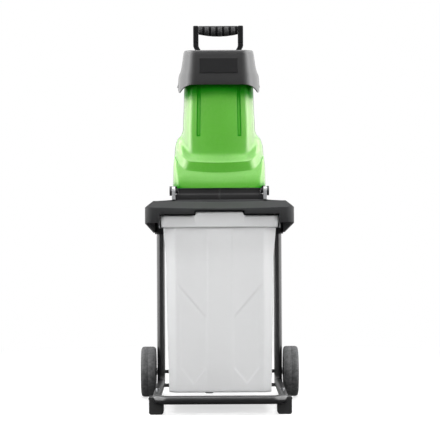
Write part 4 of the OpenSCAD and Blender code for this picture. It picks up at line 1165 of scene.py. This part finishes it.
# Half the section: radius, and distance from the side
TYRE_HALF = [
    (HUB_R, 1.2), (HUB_R + 1.4, 0.2), (WHEEL_R - 13, 0), (WHEEL_R - 12.4, 0.9), (WHEEL_R - 10.8, 0.9),
    (WHEEL_R - 10.2, 0), (WHEEL_R - 7.6, 0), (WHEEL_R - 4.6, 0.8), (WHEEL_R - 2.1, 2.6), (WHEEL_R - 0.6, 5.2),
    (WHEEL_R, 8.6), (WHEEL_R, 12), (WHEEL_R, TYRE_MIDDLE - 0.7)]
MOULDING_LINE = (WHEEL_R - 0.4, TYRE_MIDDLE)


def make_tyre(side, sign):
    mirrored = [(r, TYRE_W - x) for r, x in TYRE_HALF[::-1]]
    cos, sin = circle(4)
    rings = []
    for r, x in [*TYRE_HALF, MOULDING_LINE, *mirrored]:
        across = np.full(len(cos), sign * (WHEEL_IN + x))
        rings.append(np.column_stack([across, AXLE_Y + r * cos, AXLE_Z + r * sin]))
    obj = piece(f"tyre_{side}", ring_skin(rings), "tyre_grey", sharp=50)
    place(obj, f"{side}_wheel", "tyre_grey", f"{side}_tyre")


# Tray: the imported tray's own faces, edges rounded, with the front edge dipping in the middle

TRAY_EDGE = 1.6
# Lip: the band under the deck that dips, before the blade housing's face and beside it
LIP_LOW = DECK_Z - 28
LIP_FULL = LIP_LOW + 12
LIP_DROP = 3.4
LIP_SAG = 3.2
LIP_SAG_HW = 150.0
LIP_AHEAD = (RING_FACE - 0.6, RING_FACE - 2.8)
LIP_ASIDE = (RING_HW + 4, RING_HW + 52)
# Skirt: its lower edge rises towards the front
SKIRT_TOP, SKIRT_FULL = 500.0, 480.0
SKIRT_REAR = 160.0
SKIRT_RISE = 6.7
CUTS_X = range(-165, 166, 15)
CUTS_Y = [RING_FACE - 5, RING_FACE - 2.8, RING_FACE - 1.8, RING_FACE - 0.6]


def tray_shift(x, y, z):
    """How far a point of the tray moves up."""
    if z > LIP_LOW:
        sag = LIP_SAG * max(0.0, 1 - (x / LIP_SAG_HW) ** 2) * ramp(z, LIP_LOW, LIP_FULL)
        reach = max(ramp(y, *LIP_AHEAD), share(abs(x), *LIP_ASIDE))
        return -(LIP_DROP + sag) * reach * share(z, LIP_LOW, LIP_FULL)
    if z < SKIRT_TOP:
        return SKIRT_RISE * share(y, SKIRT_REAR, TRAY_FRONT) * ramp(z, SKIRT_TOP, SKIRT_FULL)
    return 0.0


def merge_flats(mesh):
    work = bmesh.new()
    work.from_mesh(mesh)
    bmesh.ops.dissolve_limit(
        work, angle_limit=math.radians(1), verts=work.verts, edges=work.edges, delimit=set())
    work.to_mesh(mesh)
    work.free()


def round_edges(obj):
    bevel = obj.modifiers.new("edges", "BEVEL")
    bevel.width = TRAY_EDGE * MM
    bevel.segments = 3
    bevel.limit_method = "ANGLE"
    bevel.angle_limit = math.radians(20)
    bevel.use_clamp_overlap = True
    settle(obj, sharp=30)


def bend_tray(mesh):
    """Cuts the tray's faces into strips, and moves their points to form the dip and the rise."""
    work = bmesh.new()
    work.from_mesh(mesh)
    cuts = [((x, 0, 0), (1, 0, 0)) for x in CUTS_X] + [((0, y, 0), (0, 1, 0)) for y in CUTS_Y]
    for point, normal in cuts:
        geom = work.verts[:] + work.edges[:] + work.faces[:]
        bmesh.ops.bisect_plane(work, geom=geom, plane_co=Vector(point) * MM, plane_no=normal)
    bmesh.ops.triangulate(work, faces=[f for f in work.faces if len(f.verts) > 4])
    for v in work.verts:
        v.co.z += tray_shift(*(v.co / MM)) * MM
    work.to_mesh(mesh)
    work.free()
    tidy_mesh(mesh, sharp=28, outward=False)


def make_tray():
    mesh = nodes["tray"].data.copy()
    obj = bpy.data.objects.new("deck_tray", mesh)
    scene.collection.objects.link(obj)
    tidy_mesh(mesh)
    merge_flats(mesh)
    round_edges(obj)
    bend_tray(obj.data)
    place(obj, "chassis", "tray_grey", "tray")


# Front of the blade housing between the hinges: a stepped face with low wings and a moulding seam

# Section: place in Y, and height over the deck
STRIP_SECTION = [
    (RING_FRONT + 4, 0.2), (RING_FACE + 0.6, 0.2), (RING_FACE, 0.8), (RING_FACE, 11.4),
    (RING_FACE + 0.5, 12.4), (RING_FACE + 3.4, 15.6), (RING_FACE + 3.8, 16.6), (RING_FACE + 3.8, 28),
    (RING_FACE + 4.3, 28.5), (RING_FRONT + 8, 28.5)]
STRIP_HW = 102.6
WING_TALL = 13.6
END_IN = 0.8
# Seam at the middle: place in X, and how far the face stands out
SEAM_LEFT = [(-2.4, 0.0), (-1.9, 0.6), (-0.6, 0.6), (-0.4, 0.0)]


def strip_ring(x, out):
    """The section at a place in X, which stands out except at its two ends, and is low in the wings."""
    tall = WING_TALL if abs(x) > STRIP_HW else math.inf
    last = len(STRIP_SECTION) - 1
    return np.array([
        (x, y - (out if 0 < k < last else 0), DECK_Z + min(z, tall))
        for k, (y, z) in enumerate(STRIP_SECTION)])


def make_ring_front():
    face = [(x, 0.0) for x in np.linspace(8, STRIP_HW - END_IN, 12)] + [(STRIP_HW, -END_IN)]
    wing = [(STRIP_HW + 0.1, -END_IN), (RING_HW - END_IN, 0.0), (RING_HW, -END_IN)]
    right = [(-x, out) for x, out in SEAM_LEFT[::-1]] + face + wing
    left = [(-x, out) for x, out in right[::-1]]
    rings = [strip_ring(x, out) for x, out in left + right]
    obj = piece("housing_front_strip", capped_skin(rings), "ring_grey", sharp=30)
    place(obj, "chassis", "tray_grey")


make_camera()
make_world()
make_floor()
make_lamps()
make_materials()
make_housing()
make_collar()
make_handle()
make_grip()
make_box()
make_tyre("left", -1)
make_tyre("right", 1)
make_tray()
make_ring_front()
